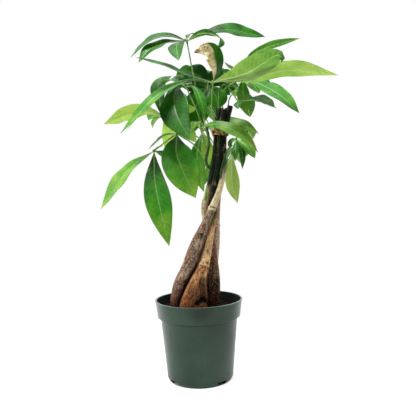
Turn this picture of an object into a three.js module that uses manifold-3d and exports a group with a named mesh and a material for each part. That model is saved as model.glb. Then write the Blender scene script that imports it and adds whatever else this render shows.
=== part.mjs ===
// A money tree in a plastic nursery pot: five plaited woody stems, tied near their cut tops, with green
// shoots that carry long-stalked palmate leaves. Millimetres, +Z up, the origin is the middle of the
// pot's flat underside, and the plant is seen from -Y with +X to the right.
import * as THREE from "three";
import { mergeVertices } from "three/addons/utils/BufferGeometryUtils.js";
import Module from "manifold-3d";

const wasm = await Module();
wasm.setup();

// Clearance that every piece keeps to the one it grows from or stands in
const GAP = 0.3;

// Nursery pot
const POT_HEIGHT = 136;
const RIM_RADIUS = 76;
const BAND_FOOT_RADIUS = 71.6;
const BAND_FOOT_HEIGHT = 107;
const BODY_TOP_RADIUS = 67;
const BODY_FOOT_RADIUS = 57;
const FLOOR_RADIUS = 53.5;
const CORNER_HEIGHT = 4;
const CORNER_ROUND = 1;
const POT_WALL = 1.8;
const LIP_HEIGHT = 2;
const LIP_EDGE = 0.5;
const POT_SIDES = 36;
const DRAIN_SLOTS = 4;
const DRAIN_WIDTH = 18;
const DRAIN_HEIGHT = 5;
const DRAIN_REACH = 10;
const FIRST_DRAIN_TURN = THREE.MathUtils.degToRad(-50);

// Potting soil: where its top meets the pot, how far its middle rises, and the bumps on its top
const SOIL_EDGE_HEIGHT = 122;
const SOIL_TOP_RADIUS = 70;
const SOIL_CROWN = 4;
const SOIL_BUMP = 1.2;
const SOIL_BUMP_ACROSS = 30;
const SOIL_BUMP_DEEP = 37;
const SOIL_CORNER_RADIUS = 47;
const SOIL_CORNER_HEIGHT = 11;
const SOIL_RINGS = 3;
const SOIL_SIDES = 24;

// Woody stems: points on each centre line with the radius there, from the cut lower end in the soil
// to the cut top. The first three show from the front, the other two stand behind them.
const STEM_SIDES = 10;
const STEM_STEPS = 18;
const STEMS = {
  stem_front_middle: [
    [-6, -26, 80, 14], [-9, -29, 124, 24], [-6, -29, 145, 19.5], [-1, -27, 167, 14.2],
    [6.5, -25, 186, 10.3], [11.5, -23, 197, 8.4], [14.5, -21, 209, 7.6], [20.5, -17, 233, 6.2],
    [25.5, -10, 255, 5], [30, -1, 284, 5.5], [29, -6, 308, 5.4], [33, -9, 335, 5.3],
    [39, -9.5, 362, 5.1], [42, -8.5, 391, 4.7], [44.6, -7.9, 425, 4.4], [52, -10, 463, 4.9],
  ],
  stem_front_left: [
    [-33, -12, 80, 9], [-37, -14, 128, 11.5], [-29, -16, 165, 12.8], [-16, -17, 192, 12.5],
    [-6.5, -17, 215, 12.4], [2.5, -16, 238, 10.8], [14.5, -14, 266, 7.4], [27, -13, 292, 6],
    [38, -11, 318, 5.5], [46, -7, 345, 5.2], [48.5, -5, 362, 5], [49.5, -4, 391, 4.7],
    [52.3, -3.7, 425, 4.4], [63, -4, 470, 4.9],
  ],
  stem_front_right: [
    [23, -4, 80, 8], [25, -3, 124, 10.5], [28, -3, 155, 9.8], [28.5, -2, 180, 8.8], [26, 0, 206, 8],
    [21.5, 4, 232, 6.8], [19, 6, 256, 6.5], [15, 5, 277, 6], [14, 3, 296, 5.9], [19, 0, 316, 5.7],
    [26, -1, 340, 5.4], [30, -1, 362, 5.1], [35, -2, 391, 4.7], [38, -2, 425, 4.4], [43.5, -2, 466, 4.9],
  ],
  stem_back_right: [
    [10, 16, 80, 9], [12, 15, 124, 13.5], [18, 17, 156, 12.5], [26, 17, 197, 10], [32, 15, 236, 7.6],
    [34, 13, 268, 6.2], [36, 11, 295, 5.8], [39, 11, 325, 5.4], [43.5, 8.5, 360, 5.1],
    [47, 6.2, 391, 4.7], [50.6, 5, 425, 4.4], [58.5, 8, 468, 4.9],
  ],
  stem_back_left: [
    [-15, 18, 80, 9], [-14, 17, 124, 14.5], [-9, 19, 156, 13.5], [0, 18, 197, 11.5], [9, 17, 237, 8.8],
    [17, 16, 269, 6.8], [23, 15, 295, 5.8], [27, 12, 325, 5.4], [33, 9, 360, 5.1],
    [38, 7, 391, 4.7], [41.9, 6.1, 425, 4.4], [47.5, 8, 469, 4.9],
  ],
};

// Twine tie round the stems: a band of turns laid side by side
const TWINE_DIAMETER = 2.4;
const TIE_TURNS = 5;
const TIE_INNER_RADIUS = 12.2;
const TIE_SIDES = 16;
const TIE_FOOT = [44.8, -0.5, 418];
const TIE_LEAN = THREE.MathUtils.degToRad(6);

// Green shoots that carry leaf stalks, as centre-line points with their radius
const SHOOT_SIDES = 8;
const SHOOT_STEPS = 8;
const SHOOTS = {
  shoot_left: [
    [29, -1, 356, 2.6], [18, -1, 374, 3], [22, -1, 393, 2.8], [24, -1, 414, 2.6], [20, -1, 438, 2.4],
  ],
  shoot_right: [
    [43, -5, 340, 2.2], [43, -13, 350, 2.1], [46, -15, 363, 2], [53, -13, 384, 1.9], [64, -12, 407, 1.9],
  ],
};

// Leaflets: the half width along a blade as a share of its widest, then the blade's make-up
const LEAFLET_OUTLINE = [
  [0, 0.1], [0.14, 0.3], [0.32, 0.74], [0.52, 1], [0.72, 0.88], [0.88, 0.46], [1, 0.04],
];
const BLADE_THICKNESS = 0.8;
const BLADE_FOLD = 0.16;
const EDGE_WAVE = 0.035;
const WAVES_PER_BLADE = 2.5;
const WAVE_SHIFT = 1.7;
const STALK_RADIUS = 1.5;
const STALK_SIDES = 6;
const STALK_STEPS = 8;
const HUB_RADIUS = 3.2;

// Leaves: the stalk's points from the shoot or stem it grows from, the hub where its leaflets meet, and
// for each leaflet its width, the side its upper face looks to (and, where the blade twists, the side
// it looks to at the tip) and the points of its rib from the hub out to the tip
const LEAVES = {
  leaf_top: {
    stalk: [[20.5, -0.5, 433], [17, 2, 448], [6, 6, 494]], hub: [-10, 0, 587],
    leaflets: [
      {
        wide: 34, up: [0, -0.9, 0.5], tipUp: [0, 0.1, 1],
        rib: [[-41, -15, 591], [-70, -32, 576], [-101, -50, 543]],
      },
      {
        wide: 32, up: [-0.3, -0.8, 0.6],
        rib: [[-46, -28, 574], [-70, -50, 554], [-86, -62, 530]],
      },
      { wide: 30, up: [-0.4, -0.6, 0.7], rib: [[-24, -46, 564], [-20, -80, 526]] },
      {
        wide: 24, up: [0, 0.3, 1], tipUp: [1, -0.6, 0.2],
        rib: [[14, -10, 595], [37, -22, 588], [50, -32, 573], [42, -36, 558]],
      },
      {
        wide: 34, up: [0, -0.5, 0.85], tipUp: [0, -1, 0.3],
        rib: [[37, 10, 606], [71, 20, 612], [100, 26, 608], [132, 32, 603]],
      },
      { wide: 10, up: [0, 0, 1], rib: [[-7, 12, 602], [4, 26, 610]] },
    ],
  },
  leaf_big_right: {
    stalk: [[37, -5, 440], [32, -14, 446], [30, -38, 462]], hub: [33, -55, 498],
    leaflets: [
      {
        wide: 52, up: [-0.25, 0.55, 0.8],
        rib: [[83, -85, 501], [110, -112, 509], [126, -128, 514], [132, -134, 509], [131, -136, 500]],
      },
      { wide: 42, up: [0, 0.35, 1], rib: [[92, -72, 498], [153, -85, 505], [226, -90, 494]] },
      {
        wide: 29, up: [-0.3, -1, 0.1],
        rib: [[39, -62, 515], [38, -66, 530], [32, -70, 541], [20, -75, 543], [4, -78, 539]],
      },
      { wide: 18, up: [0.3, -0.6, 0.8], rib: [[-3, -75, 503], [-40, -100, 512], [-81, -120, 519]] },
      {
        wide: 26, up: [-0.5, -0.8, 0.5],
        rib: [[-4, -72, 496], [-31, -95, 481], [-62, -118, 453], [-104, -134, 404]],
      },
    ],
  },
  leaf_big_front: {
    stalk: [[22.5, -1, 424], [16, -12, 432], [4, -38, 459]], hub: [-11, -70, 489],
    leaflets: [
      {
        wide: 46, up: [-0.4, -1, 0.2],
        rib: [[-24, -79, 483], [-28, -94, 464], [-22, -113, 432], [-4, -128, 395]],
      },
      { wide: 18, up: [0.5, -0.8, 0.3], rib: [[4, -84, 481], [14, -96, 455], [19, -98, 425]] },
      {
        wide: 24, up: [-0.55, -0.3, 0.7],
        rib: [[-43, -80, 478], [-68, -93, 454], [-100, -104, 415]],
      },
      { wide: 28, up: [-0.3, -0.3, 0.9], rib: [[-32, -50, 506], [-53, -25, 502]] },
    ],
  },
  leaf_pale_left: {
    stalk: [[23.5, -1, 408], [12, -8, 413], [-24, -22, 431]], hub: [-54, -30, 449],
    leaflets: [
      { wide: 36, up: [0, 0.55, 0.8], rib: [[-77, -42, 456], [-109, -58, 447], [-141, -75, 430]] },
      { wide: 7, up: [0.5, -0.6, 0.5], rib: [[-62, -36, 445], [-68, -42, 437], [-68, -46, 427]] },
      { wide: 28, up: [-0.3, -0.8, 0.3], rib: [[-59, -15, 486], [-60, 0, 513], [-39, 18, 532]] },
      { wide: 38, up: [0.3, -0.6, 0.6], rib: [[-28, -8, 465], [4, 14, 472]] },
      { wide: 26, up: [-0.2, -1, 0.1], rib: [[-45, -34, 436], [-41, -40, 416], [-47, -44, 391]] },
    ],
  },
  leaf_broad_low: {
    stalk: [[18.5, -1, 382], [12, -12, 386], [-2, -42, 400]], hub: [-27, -62, 414],
    leaflets: [
      {
        wide: 54, up: [0, -1, 0.2],
        rib: [[-26, -95, 376], [-12, -108, 339], [2, -112, 309]],
      },
      { wide: 14, up: [-0.5, -0.4, 0.75], rib: [[-47, -58, 413], [-59, -62, 403], [-73, -66, 390]] },
      { wide: 22, up: [0.3, -0.9, 0.3], rib: [[-10, -74, 412], [4, -80, 397]] },
    ],
  },
  leaf_lowest: {
    stalk: [[20, -1, 436], [6, -14, 443], [-9, -30, 432], [-29, -54, 415]], hub: [-63, -75, 386],
    leaflets: [
      { wide: 34, up: [-0.35, -0.6, 0.65], rib: [[-101, -95, 355], [-142, -105, 296]] },
      {
        wide: 38, up: [0.05, -1, 0.15],
        rib: [[-59, -108, 335], [-49, -122, 286], [-38, -126, 239]],
      },
      { wide: 8, up: [-0.6, -0.5, 0.4], rib: [[-57, -70, 392], [-50, -64, 395]] },
      { wide: 34, up: [0.2, -0.8, 0.5], rib: [[-39, -48, 374], [-13, -22, 342]] },
    ],
  },
  leaf_dark_right: {
    stalk: [[47, 9, 455], [44, 14, 468], [44, 11, 485], [46, 9, 503], [54, 9, 511]], hub: [78, 8, 481],
    leaflets: [
      { wide: 26, up: [0, -0.5, 1], rib: [[110, -4, 479], [143, -10, 463]] },
      { wide: 16, up: [-0.4, -0.7, 0.6], rib: [[77, -4, 474], [76, -10, 463]] },
      { wide: 34, up: [0, 0, 1], rib: [[116, 30, 490], [150, 54, 480]] },
    ],
  },
  leaf_upper_right: {
    stalk: [[55, 6.5, 450], [50, 22, 483], [54, 24, 505]], hub: [88, 14, 525],
    leaflets: [
      { wide: 38, up: [0.2, -0.8, 0.6], rib: [[118, -15, 502], [147, -42, 474], [171, -60, 443]] },
      { wide: 25, up: [0, -1, 0.1], rib: [[90, 42, 502], [98, 60, 470]] },
      { wide: 20, up: [0, 0.45, 0.9], rib: [[101, 10, 559], [134, 16, 578], [195, 30, 598]] },
      { wide: 36, up: [0, 0, 1], rib: [[98, 62, 556], [108, 108, 562]] },
      { wide: 18, up: [0, 0, 1], rib: [[70, 36, 547], [57, 52, 566]] },
    ],
  },
  leaf_across: {
    stalk: [[22.5, -1, 397], [16, -9, 402], [14, -16, 414]], hub: [10, -22, 430],
    leaflets: [
      {
        wide: 28, up: [0.1, -1, 0.5], tipUp: [0.2, -0.6, 0.8],
        rib: [[32, -36, 433], [59, -50, 422], [84, -58, 404], [103, -60, 381]],
      },
      { wide: 16, up: [-0.3, -0.8, 0.5], rib: [[5, -42, 436], [-3, -50, 422]] },
    ],
  },
  leaf_right_cluster: {
    stalk: [[62, -12, 403], [67, -12, 408]], hub: [71, -12, 411],
    leaflets: [
      { wide: 24, up: [0.2, -0.7, 0.6], rib: [[87, -24, 397], [101, -32, 375]] },
      { wide: 13, up: [0.5, -0.8, 0.1], rib: [[79, -28, 390], [79, -36, 357]] },
      { wide: 13, up: [-0.4, -0.8, 0.1], rib: [[69, -30, 390], [67, -36, 370]] },
      { wide: 14, up: [-0.2, -0.8, 0.5], rib: [[64, 0, 408], [60, 6, 398]] },
      { wide: 30, up: [0, -0.3, 1], rib: [[94, 34, 434], [110, 76, 424]] },
    ],
  },
  leaf_pale_right: {
    stalk: [[45, -14, 358], [55, -10, 368], [60, 3, 380]], hub: [66, 24, 391],
    leaflets: [
      {
        wide: 26, up: [0.2, 0.9, 0.3],
        rib: [[65, 30, 365], [66, 32, 334], [74, 32, 301]],
      },
      { wide: 30, up: [0.3, 0, 1], rib: [[84, 58, 400], [92, 92, 390]] },
      { wide: 28, up: [0, 0, 1], rib: [[58, 62, 403], [52, 104, 384]] },
    ],
  },
  leaf_behind_trunk: {
    stalk: [[23.5, -0.5, 416], [17, 8, 421], [15, 14, 426]], hub: [14, 20, 432],
    leaflets: [
      { wide: 22, up: [0, -1, 0.1], rib: [[21, 27, 404], [22, 28, 369]] },
      { wide: 28, up: [-0.2, -0.9, 0.2], rib: [[2, 36, 394], [5, 42, 356], [13, 40, 323]] },
      { wide: 28, up: [0.2, -0.8, 0.5], rib: [[49, 24, 446], [85, 16, 440], [113, 8, 423]] },
      { wide: 34, up: [0, -1, 0], rib: [[7, 26, 455], [12, 30, 482]] },
    ],
  },
  leaf_inner: {
    stalk: [[41, 2, 448], [34, 8, 462], [27, 18, 484]], hub: [25, 25, 512],
    leaflets: [
      { wide: 40, up: [0, -1, 0.3], rib: [[10, 22, 531], [-17, 18, 542]] },
      { wide: 40, up: [0.1, -1, 0.1], rib: [[39, 18, 493], [42, 17, 469]] },
      { wide: 42, up: [-0.1, -1, 0.1], rib: [[8, 20, 488], [-2, 16, 462]] },
      { wide: 34, up: [0, 0, 1], rib: [[20, 80, 530], [26, 128, 520]] },
      { wide: 30, up: [0, 0, 1], rib: [[58, 44, 526], [84, 58, 518]] },
      { wide: 40, up: [-0.1, -1, 0.2], rib: [[-1, 30, 522], [-28, 28, 518]] },
      { wide: 34, up: [0.2, -1, 0.2], rib: [[37, 32, 525], [52, 35, 545]] },
    ],
  },
  leaf_back_left: {
    stalk: [[39.5, 6.5, 406], [34, 22, 420], [20, 55, 462]], hub: [2, 90, 500],
    leaflets: [
      { wide: 38, up: [0, 0, 1], rib: [[-32, 102, 520], [-64, 114, 510]] },
      { wide: 38, up: [0, 0, 1], rib: [[-22, 126, 520], [-44, 160, 506]] },
      { wide: 38, up: [0, 0, 1], rib: [[6, 138, 516], [8, 184, 496]] },
      { wide: 34, up: [0, 0.2, 1], rib: [[26, 124, 498], [40, 154, 474]] },
      { wide: 34, up: [0, 0.5, 0.7], rib: [[-6, 112, 474], [-14, 126, 440]] },
    ],
  },
  leaf_far_left: {
    stalk: [[38, 7, 392], [30, 20, 414], [0, 44, 454]], hub: [-50, 62, 462],
    leaflets: [
      { wide: 34, up: [0, 0, 1], rib: [[-86, 60, 478], [-112, 54, 467]] },
      { wide: 34, up: [0, 0, 1], rib: [[-76, 92, 479], [-96, 120, 474]] },
      { wide: 34, up: [0, 0, 1], rib: [[-52, 102, 480], [-56, 140, 470]] },
      { wide: 32, up: [0, 0.3, 1], rib: [[-26, 92, 466], [-16, 118, 450]] },
    ],
  },
  leaf_back_right: {
    stalk: [[53, 6, 440], [60, 24, 456], [66, 60, 500]], hub: [88, 88, 525],
    leaflets: [
      { wide: 38, up: [0, 0, 1], rib: [[124, 100, 541], [158, 114, 525]] },
      { wide: 38, up: [0, 0, 1], rib: [[114, 124, 545], [134, 160, 533]] },
      { wide: 38, up: [0, 0, 1], rib: [[86, 136, 547], [84, 182, 531]] },
      { wide: 34, up: [0, -1, 0.2], rib: [[69, 96, 531], [47, 100, 520]] },
      { wide: 34, up: [0, 0.4, 0.8], rib: [[102, 116, 505], [112, 140, 479]] },
    ],
  },
  leaf_back_low: {
    stalk: [[35, 8.5, 370], [34, 24, 378], [32, 52, 390]], hub: [32, 84, 400],
    leaflets: [
      { wide: 36, up: [-0.2, 0, 1], rib: [[-1, 104, 406], [-30, 124, 380]] },
      { wide: 36, up: [0, 0.4, 0.8], rib: [[18, 112, 378], [8, 134, 336]] },
      { wide: 36, up: [0, 0.3, 0.9], rib: [[51, 116, 384], [64, 138, 340]] },
      { wide: 34, up: [0.2, 0, 1], rib: [[64, 104, 408], [92, 124, 380]] },
      { wide: 34, up: [0, 0, 1], rib: [[31, 130, 420], [36, 178, 402]] },
    ],
  },
  leaf_back_top: {
    stalk: [[44, 7, 438], [42, 24, 466], [36, 52, 522]], hub: [26, 68, 544],
    leaflets: [
      { wide: 36, up: [0, 0, 1], rib: [[-8, 86, 564], [-38, 108, 552]] },
      { wide: 36, up: [0, 0, 1], rib: [[10, 108, 568], [-4, 150, 560]] },
      { wide: 36, up: [0, 0, 1], rib: [[40, 108, 566], [56, 148, 556]] },
      { wide: 32, up: [0, 0, 1], rib: [[58, 84, 555], [84, 100, 550]] },
    ],
  },
};

// Finishes
const potPlastic = new THREE.MeshStandardMaterial({ color: "#35533f", roughness: 0.42, metalness: 0 });
const pottingSoil = new THREE.MeshStandardMaterial({ color: "#2b211a", roughness: 0.95, metalness: 0 });
const paleBark = new THREE.MeshStandardMaterial({ color: "#8a7362", roughness: 0.85, metalness: 0 });
const naturalTwine = new THREE.MeshStandardMaterial({ color: "#a8843c", roughness: 0.9, metalness: 0 });
const greenShoot = new THREE.MeshStandardMaterial({ color: "#5f8f36", roughness: 0.5, metalness: 0 });
const leafGreen = new THREE.MeshStandardMaterial({ color: "#3f8a33", roughness: 0.4, metalness: 0 });

const plant = new THREE.Group();

function toSolid(geometry) {
  geometry.deleteAttribute("normal");
  geometry.deleteAttribute("uv");
  const welded = mergeVertices(geometry, 1e-3);
  const vertProperties = new Float32Array(welded.attributes.position.array);
  const triVerts = new Uint32Array(welded.index.array);
  return new wasm.Manifold(new wasm.Mesh({ numProp: 3, vertProperties, triVerts }));
}

function addPiece(name, solid, material) {
  const mesh = solid.getMesh();
  const geometry = new THREE.BufferGeometry();
  geometry.setAttribute("position", new THREE.BufferAttribute(mesh.vertProperties, 3));
  geometry.setIndex(new THREE.BufferAttribute(mesh.triVerts, 1));
  geometry.computeVertexNormals();
  const piece = new THREE.Mesh(geometry, material);
  piece.name = name;
  plant.add(piece);
}

// A round bar along [x, y, z, radius] points, made thicker and longer by the given amount
function limb(points, sides, steps, grow = 0) {
  const line = new THREE.CatmullRomCurve3(points.map(([x, y, z]) => new THREE.Vector3(x, y, z)));
  const girth = new THREE.CatmullRomCurve3(points.map((point) => new THREE.Vector3(point[3], 0, 0)));
  const bar = new THREE.CylinderGeometry(1, 1, 1, sides, steps);
  const place = bar.attributes.position;
  const across = new THREE.Vector3(1, 0, 0);
  for (let i = 0; i < place.count; i += 1) {
    const ring = Math.round((place.getY(i) + 0.5) * steps);
    const along = ring / steps;
    const tangent = line.getTangent(along);
    const sideways = across.clone().addScaledVector(tangent, -across.dot(tangent)).normalize();
    const forwards = new THREE.Vector3().crossVectors(tangent, sideways);
    const radius = girth.getPoint(along).x + grow;
    const point = line.getPoint(along);
    point.addScaledVector(sideways, place.getX(i) * radius);
    point.addScaledVector(forwards, -place.getZ(i) * radius);
    if (ring === 0) {
      point.addScaledVector(tangent, -grow);
    } else if (ring === steps) {
      point.addScaledVector(tangent, grow);
    }
    place.setXYZ(i, point.x, point.y, point.z);
  }
  return toSolid(bar);
}

// A solid turned about +Z from [radius, height] points
function turned(profile, sides) {
  const points = profile.map(([radius, height]) => new THREE.Vector2(radius, height));
  return new THREE.LatheGeometry(points, sides).rotateX(Math.PI / 2);
}

// The injection-moulded pot, with drain slots cut through its bottom corner
function makePot() {
  const outside = [
    [0, 0], [FLOOR_RADIUS, 0], [BODY_FOOT_RADIUS - CORNER_ROUND, CORNER_ROUND],
    [BODY_FOOT_RADIUS, CORNER_HEIGHT], [BODY_TOP_RADIUS, BAND_FOOT_HEIGHT - CORNER_ROUND],
    [BAND_FOOT_RADIUS, BAND_FOOT_HEIGHT], [RIM_RADIUS - CORNER_ROUND, POT_HEIGHT - LIP_HEIGHT],
    [RIM_RADIUS, POT_HEIGHT - LIP_HEIGHT + LIP_EDGE], [RIM_RADIUS - LIP_EDGE, POT_HEIGHT],
  ];
  const inside = [
    [RIM_RADIUS - CORNER_ROUND - POT_WALL, POT_HEIGHT],
    [BAND_FOOT_RADIUS - POT_WALL, BAND_FOOT_HEIGHT + POT_WALL],
    [BODY_TOP_RADIUS - POT_WALL, BAND_FOOT_HEIGHT], [BODY_FOOT_RADIUS - POT_WALL, CORNER_HEIGHT],
    [FLOOR_RADIUS - POT_WALL, POT_WALL], [0, POT_WALL],
  ];
  let pot = toSolid(turned([...outside, ...inside], POT_SIDES));
  for (let i = 0; i < DRAIN_SLOTS; i += 1) {
    const slot = new THREE.BoxGeometry(DRAIN_REACH * 2, DRAIN_WIDTH, DRAIN_HEIGHT * 2);
    slot.translate(BODY_FOOT_RADIUS, 0, 0);
    slot.rotateZ(FIRST_DRAIN_TURN + i * 2 * Math.PI / DRAIN_SLOTS);
    pot = pot.subtract(toSolid(slot));
  }
  return pot;
}

// The soil plug, tapered like the pot, with an uneven top and a plain hole for each stem
function makeSoil(stemHoles) {
  const clear = POT_WALL + 3 * GAP;
  const profile = [
    [0, POT_WALL + GAP], [SOIL_CORNER_RADIUS, POT_WALL + GAP],
    [BODY_FOOT_RADIUS - clear, SOIL_CORNER_HEIGHT], [BODY_TOP_RADIUS - clear, BAND_FOOT_HEIGHT],
    [BAND_FOOT_RADIUS - clear, BAND_FOOT_HEIGHT + clear], [SOIL_TOP_RADIUS, SOIL_EDGE_HEIGHT],
  ];
  for (let ring = SOIL_RINGS - 1; ring >= 0; ring -= 1) {
    const share = ring / SOIL_RINGS;
    profile.push([SOIL_TOP_RADIUS * share, SOIL_EDGE_HEIGHT + SOIL_CROWN * (1 - share * share)]);
  }
  const plug = turned(profile, SOIL_SIDES);
  const place = plug.attributes.position;
  for (let i = 0; i < place.count; i += 1) {
    if (place.getZ(i) >= SOIL_EDGE_HEIGHT) {
      const ripple = Math.sin(2 * Math.PI * place.getX(i) / SOIL_BUMP_ACROSS);
      const swell = Math.cos(2 * Math.PI * place.getY(i) / SOIL_BUMP_DEEP);
      place.setZ(i, place.getZ(i) + ripple * swell * SOIL_BUMP);
    }
  }
  return toSolid(plug).subtract(stemHoles);
}

// The twine's turns as one ribbed band that stands just clear of the stems and leans with them
function makeTie(stemRoom) {
  const valley = TIE_INNER_RADIUS + TWINE_DIAMETER / 2;
  const profile = [[TIE_INNER_RADIUS, TIE_TURNS * TWINE_DIAMETER], [TIE_INNER_RADIUS, 0]];
  for (let turn = 0; turn < TIE_TURNS; turn += 1) {
    profile.push([valley, turn * TWINE_DIAMETER]);
    profile.push([TIE_INNER_RADIUS + TWINE_DIAMETER, (turn + 0.5) * TWINE_DIAMETER]);
  }
  profile.push([valley, TIE_TURNS * TWINE_DIAMETER], profile[0]);
  const band = turned(profile, TIE_SIDES).rotateY(TIE_LEAN).translate(...TIE_FOOT);
  return toSolid(band).subtract(stemRoom);
}

// One leaflet: a thin blade along its rib, folded a little upwards, waved at its edges and twisted
// where it has a tipUp, whose two faces are split into triangles alike
function makeBlade(hub, { wide, up, rib, tipUp = up }, phase) {
  const line = new THREE.CatmullRomCurve3([hub, ...rib].map((point) => new THREE.Vector3(...point)));
  const tipUpwards = new THREE.Vector3(...tipUp);
  const corners = [];
  for (const [along, share] of LEAFLET_OUTLINE) {
    const tangent = line.getTangentAt(along);
    const upwards = new THREE.Vector3(...up).lerp(tipUpwards, along);
    const normal = upwards.addScaledVector(tangent, -upwards.dot(tangent)).normalize();
    const sideways = new THREE.Vector3().crossVectors(tangent, normal);
    const half = wide / 2 * share;
    for (const layer of [-1, 1]) {
      for (const column of [-1, 0, 1]) {
        const wave = Math.sin(along * WAVES_PER_BLADE * 2 * Math.PI + column + phase) * EDGE_WAVE;
        const lift = Math.abs(column) * half * (BLADE_FOLD + wave) + layer * BLADE_THICKNESS / 2;
        const point = line.getPointAt(along).addScaledVector(sideways, column * half);
        corners.push(...point.addScaledVector(normal, lift).toArray());
      }
    }
  }
  return toSolid(bladeGeometry(corners, LEAFLET_OUTLINE.length));
}

// Joins the six corners of each station (three on the under face, three on the upper) to the next
function bladeGeometry(corners, stations) {
  const triangles = [];
  const quad = (a, b, c, d) => triangles.push(a, b, c, a, c, d);
  for (let i = 0; i < stations - 1; i += 1) {
    const here = i * 6;
    const next = here + 6;
    quad(here + 3, here + 4, next + 4, next + 3);
    quad(here + 4, here + 5, next + 5, next + 4);
    triangles.push(here, next + 1, here + 1, here, next, next + 1);
    triangles.push(here + 1, next + 2, here + 2, here + 1, next + 1, next + 2);
    quad(here, here + 3, next + 3, next);
    quad(here + 5, here + 2, next + 2, next + 5);
  }
  const last = (stations - 1) * 6;
  quad(0, 1, 4, 3);
  quad(1, 2, 5, 4);
  quad(last + 1, last, last + 3, last + 4);
  quad(last + 2, last + 1, last + 4, last + 5);
  const geometry = new THREE.BufferGeometry();
  geometry.setAttribute("position", new THREE.BufferAttribute(new Float32Array(corners), 3));
  geometry.setIndex(triangles);
  return geometry;
}

// One palmate leaf: its stalk, the hub at the stalk's end and the leaflets that meet there
function makeLeaf({ stalk, hub, leaflets }) {
  const route = new THREE.CatmullRomCurve3([...stalk, hub].map((point) => new THREE.Vector3(...point)));
  const section = new THREE.Shape();
  section.absarc(0, 0, STALK_RADIUS, 0, 2 * Math.PI);
  const tube = new THREE.ExtrudeGeometry(section, {
    steps: STALK_STEPS, curveSegments: STALK_SIDES / 2, extrudePath: route,
  });
  const knob = new THREE.IcosahedronGeometry(HUB_RADIUS, 0).translate(...hub);
  let leaf = toSolid(tube).add(toSolid(knob));
  leaflets.forEach((leaflet, i) => {
    leaf = leaf.add(makeBlade(hub, leaflet, i * WAVE_SHIFT));
  });
  return leaf;
}

// Puts the pieces together: what is built first keeps its full shape, and what grows from it or stands
// against it is cut back by the clearance
function assemble() {
  let stemRoom = null;
  for (const [name, points] of Object.entries(STEMS)) {
    const stem = limb(points, STEM_SIDES, STEM_STEPS);
    addPiece(name, stemRoom ? stem.subtract(stemRoom) : stem, paleBark);
    const room = limb(points, STEM_SIDES, STEM_STEPS, GAP);
    stemRoom = stemRoom ? stemRoom.add(room) : room;
  }
  let standing = stemRoom;
  for (const [name, points] of Object.entries(SHOOTS)) {
    addPiece(name, limb(points, SHOOT_SIDES, SHOOT_STEPS).subtract(stemRoom), greenShoot);
    standing = standing.add(limb(points, SHOOT_SIDES, SHOOT_STEPS, GAP));
  }
  for (const [name, leaf] of Object.entries(LEAVES)) {
    addPiece(name, makeLeaf(leaf).subtract(standing), leafGreen);
  }
  addPiece("tie", makeTie(stemRoom), naturalTwine);
  addPiece("soil", makeSoil(stemRoom), pottingSoil);
  addPiece("pot", makePot(), potPlastic);
}

assemble();

export default plant;
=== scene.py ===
import math
import random

import bmesh
import bpy
import numpy as np
from mathutils import Matrix, Vector, noise


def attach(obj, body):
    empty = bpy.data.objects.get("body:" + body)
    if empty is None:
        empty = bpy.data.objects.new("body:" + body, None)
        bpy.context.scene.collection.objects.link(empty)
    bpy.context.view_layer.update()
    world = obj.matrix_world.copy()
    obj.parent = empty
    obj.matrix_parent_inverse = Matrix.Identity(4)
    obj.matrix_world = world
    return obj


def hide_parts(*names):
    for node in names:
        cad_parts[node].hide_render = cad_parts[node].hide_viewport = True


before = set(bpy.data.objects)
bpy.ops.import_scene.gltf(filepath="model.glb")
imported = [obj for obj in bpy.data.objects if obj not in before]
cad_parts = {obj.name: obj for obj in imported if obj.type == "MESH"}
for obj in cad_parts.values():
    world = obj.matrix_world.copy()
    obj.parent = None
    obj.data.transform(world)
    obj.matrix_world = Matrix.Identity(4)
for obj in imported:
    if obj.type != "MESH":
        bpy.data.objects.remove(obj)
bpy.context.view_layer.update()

# Nursery pot: one injection-moulded shell of dark green polypropylene, 1.8 mm thick, with a deep band
# under a rolled lip and four drain slots through its bottom corner. Everything else stands in it.
MM = 0.001
POT_HEIGHT = 136 * MM
LIP_RADIUS = 76 * MM
LIP_DEPTH = 2 * MM
LIP_OVERHANG = 1 * MM
BAND_FOOT_RADIUS = 71.6 * MM
BAND_FOOT_HEIGHT = 107 * MM
BODY_TOP_RADIUS = 67 * MM
BODY_FOOT_RADIUS = 57 * MM
FLOOR_RADIUS = 53.5 * MM
CORNER_HEIGHT = 4 * MM
POT_WALL = 1.8 * MM
POT_SIDES = 160
DRAIN_SLOTS = 4
DRAIN_WIDTH = 18 * MM
DRAIN_HEIGHT = 6.5 * MM
DRAIN_REACH = 10 * MM
FIRST_DRAIN_TURN = math.radians(-50)
POT_MIDDLE = 1 * MM
MOULD_RADIUS = 0.7 * MM
SHARP_ANGLE = math.radians(40)
INNER_WALL_TOP = POT_HEIGHT - 1 * MM
POT_GREEN = "#1d3224"
POT_GREEN_FADED = "#284230"
# The lip's pale colour is partly rubbing and partly a painted highlight.
POT_LIP_WEAR_AND_HIGHLIGHT = "#7f9b88"
# Painted shade: the dark line under the band and the dark reflection on the band's front.
POT_PAINTED_SHADE = "#0b130e"
LIP_WEAR_AND_HIGHLIGHT_DEPTH = 0.8 * MM
UNDER_BAND_SHADE_DEPTH = 4 * MM
UNDER_BAND_SHADE_EDGE = 1.5 * MM
# Painted shade that makes the inside of the pot almost black.
INNER_WALL_PAINTED_SHADE = "#0c120d"
# The painted dark reflection on the front of the band: where it sits and how far it spreads.
DARK_REFLECTION_PLACE = (3 * MM, -75 * MM, 125 * MM)
DARK_REFLECTION_WIDTH = 28 * MM
DARK_REFLECTION_HEIGHT = 15 * MM


def colour(code):
    """An sRGB hex colour as the linear RGBA that the shaders work in."""
    shares = [int(code[i:i + 2], 16) / 255 for i in (1, 3, 5)]
    linear = [s / 12.92 if s <= 0.04045 else ((s + 0.055) / 1.055) ** 2.4 for s in shares]
    return (*linear, 1)


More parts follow.
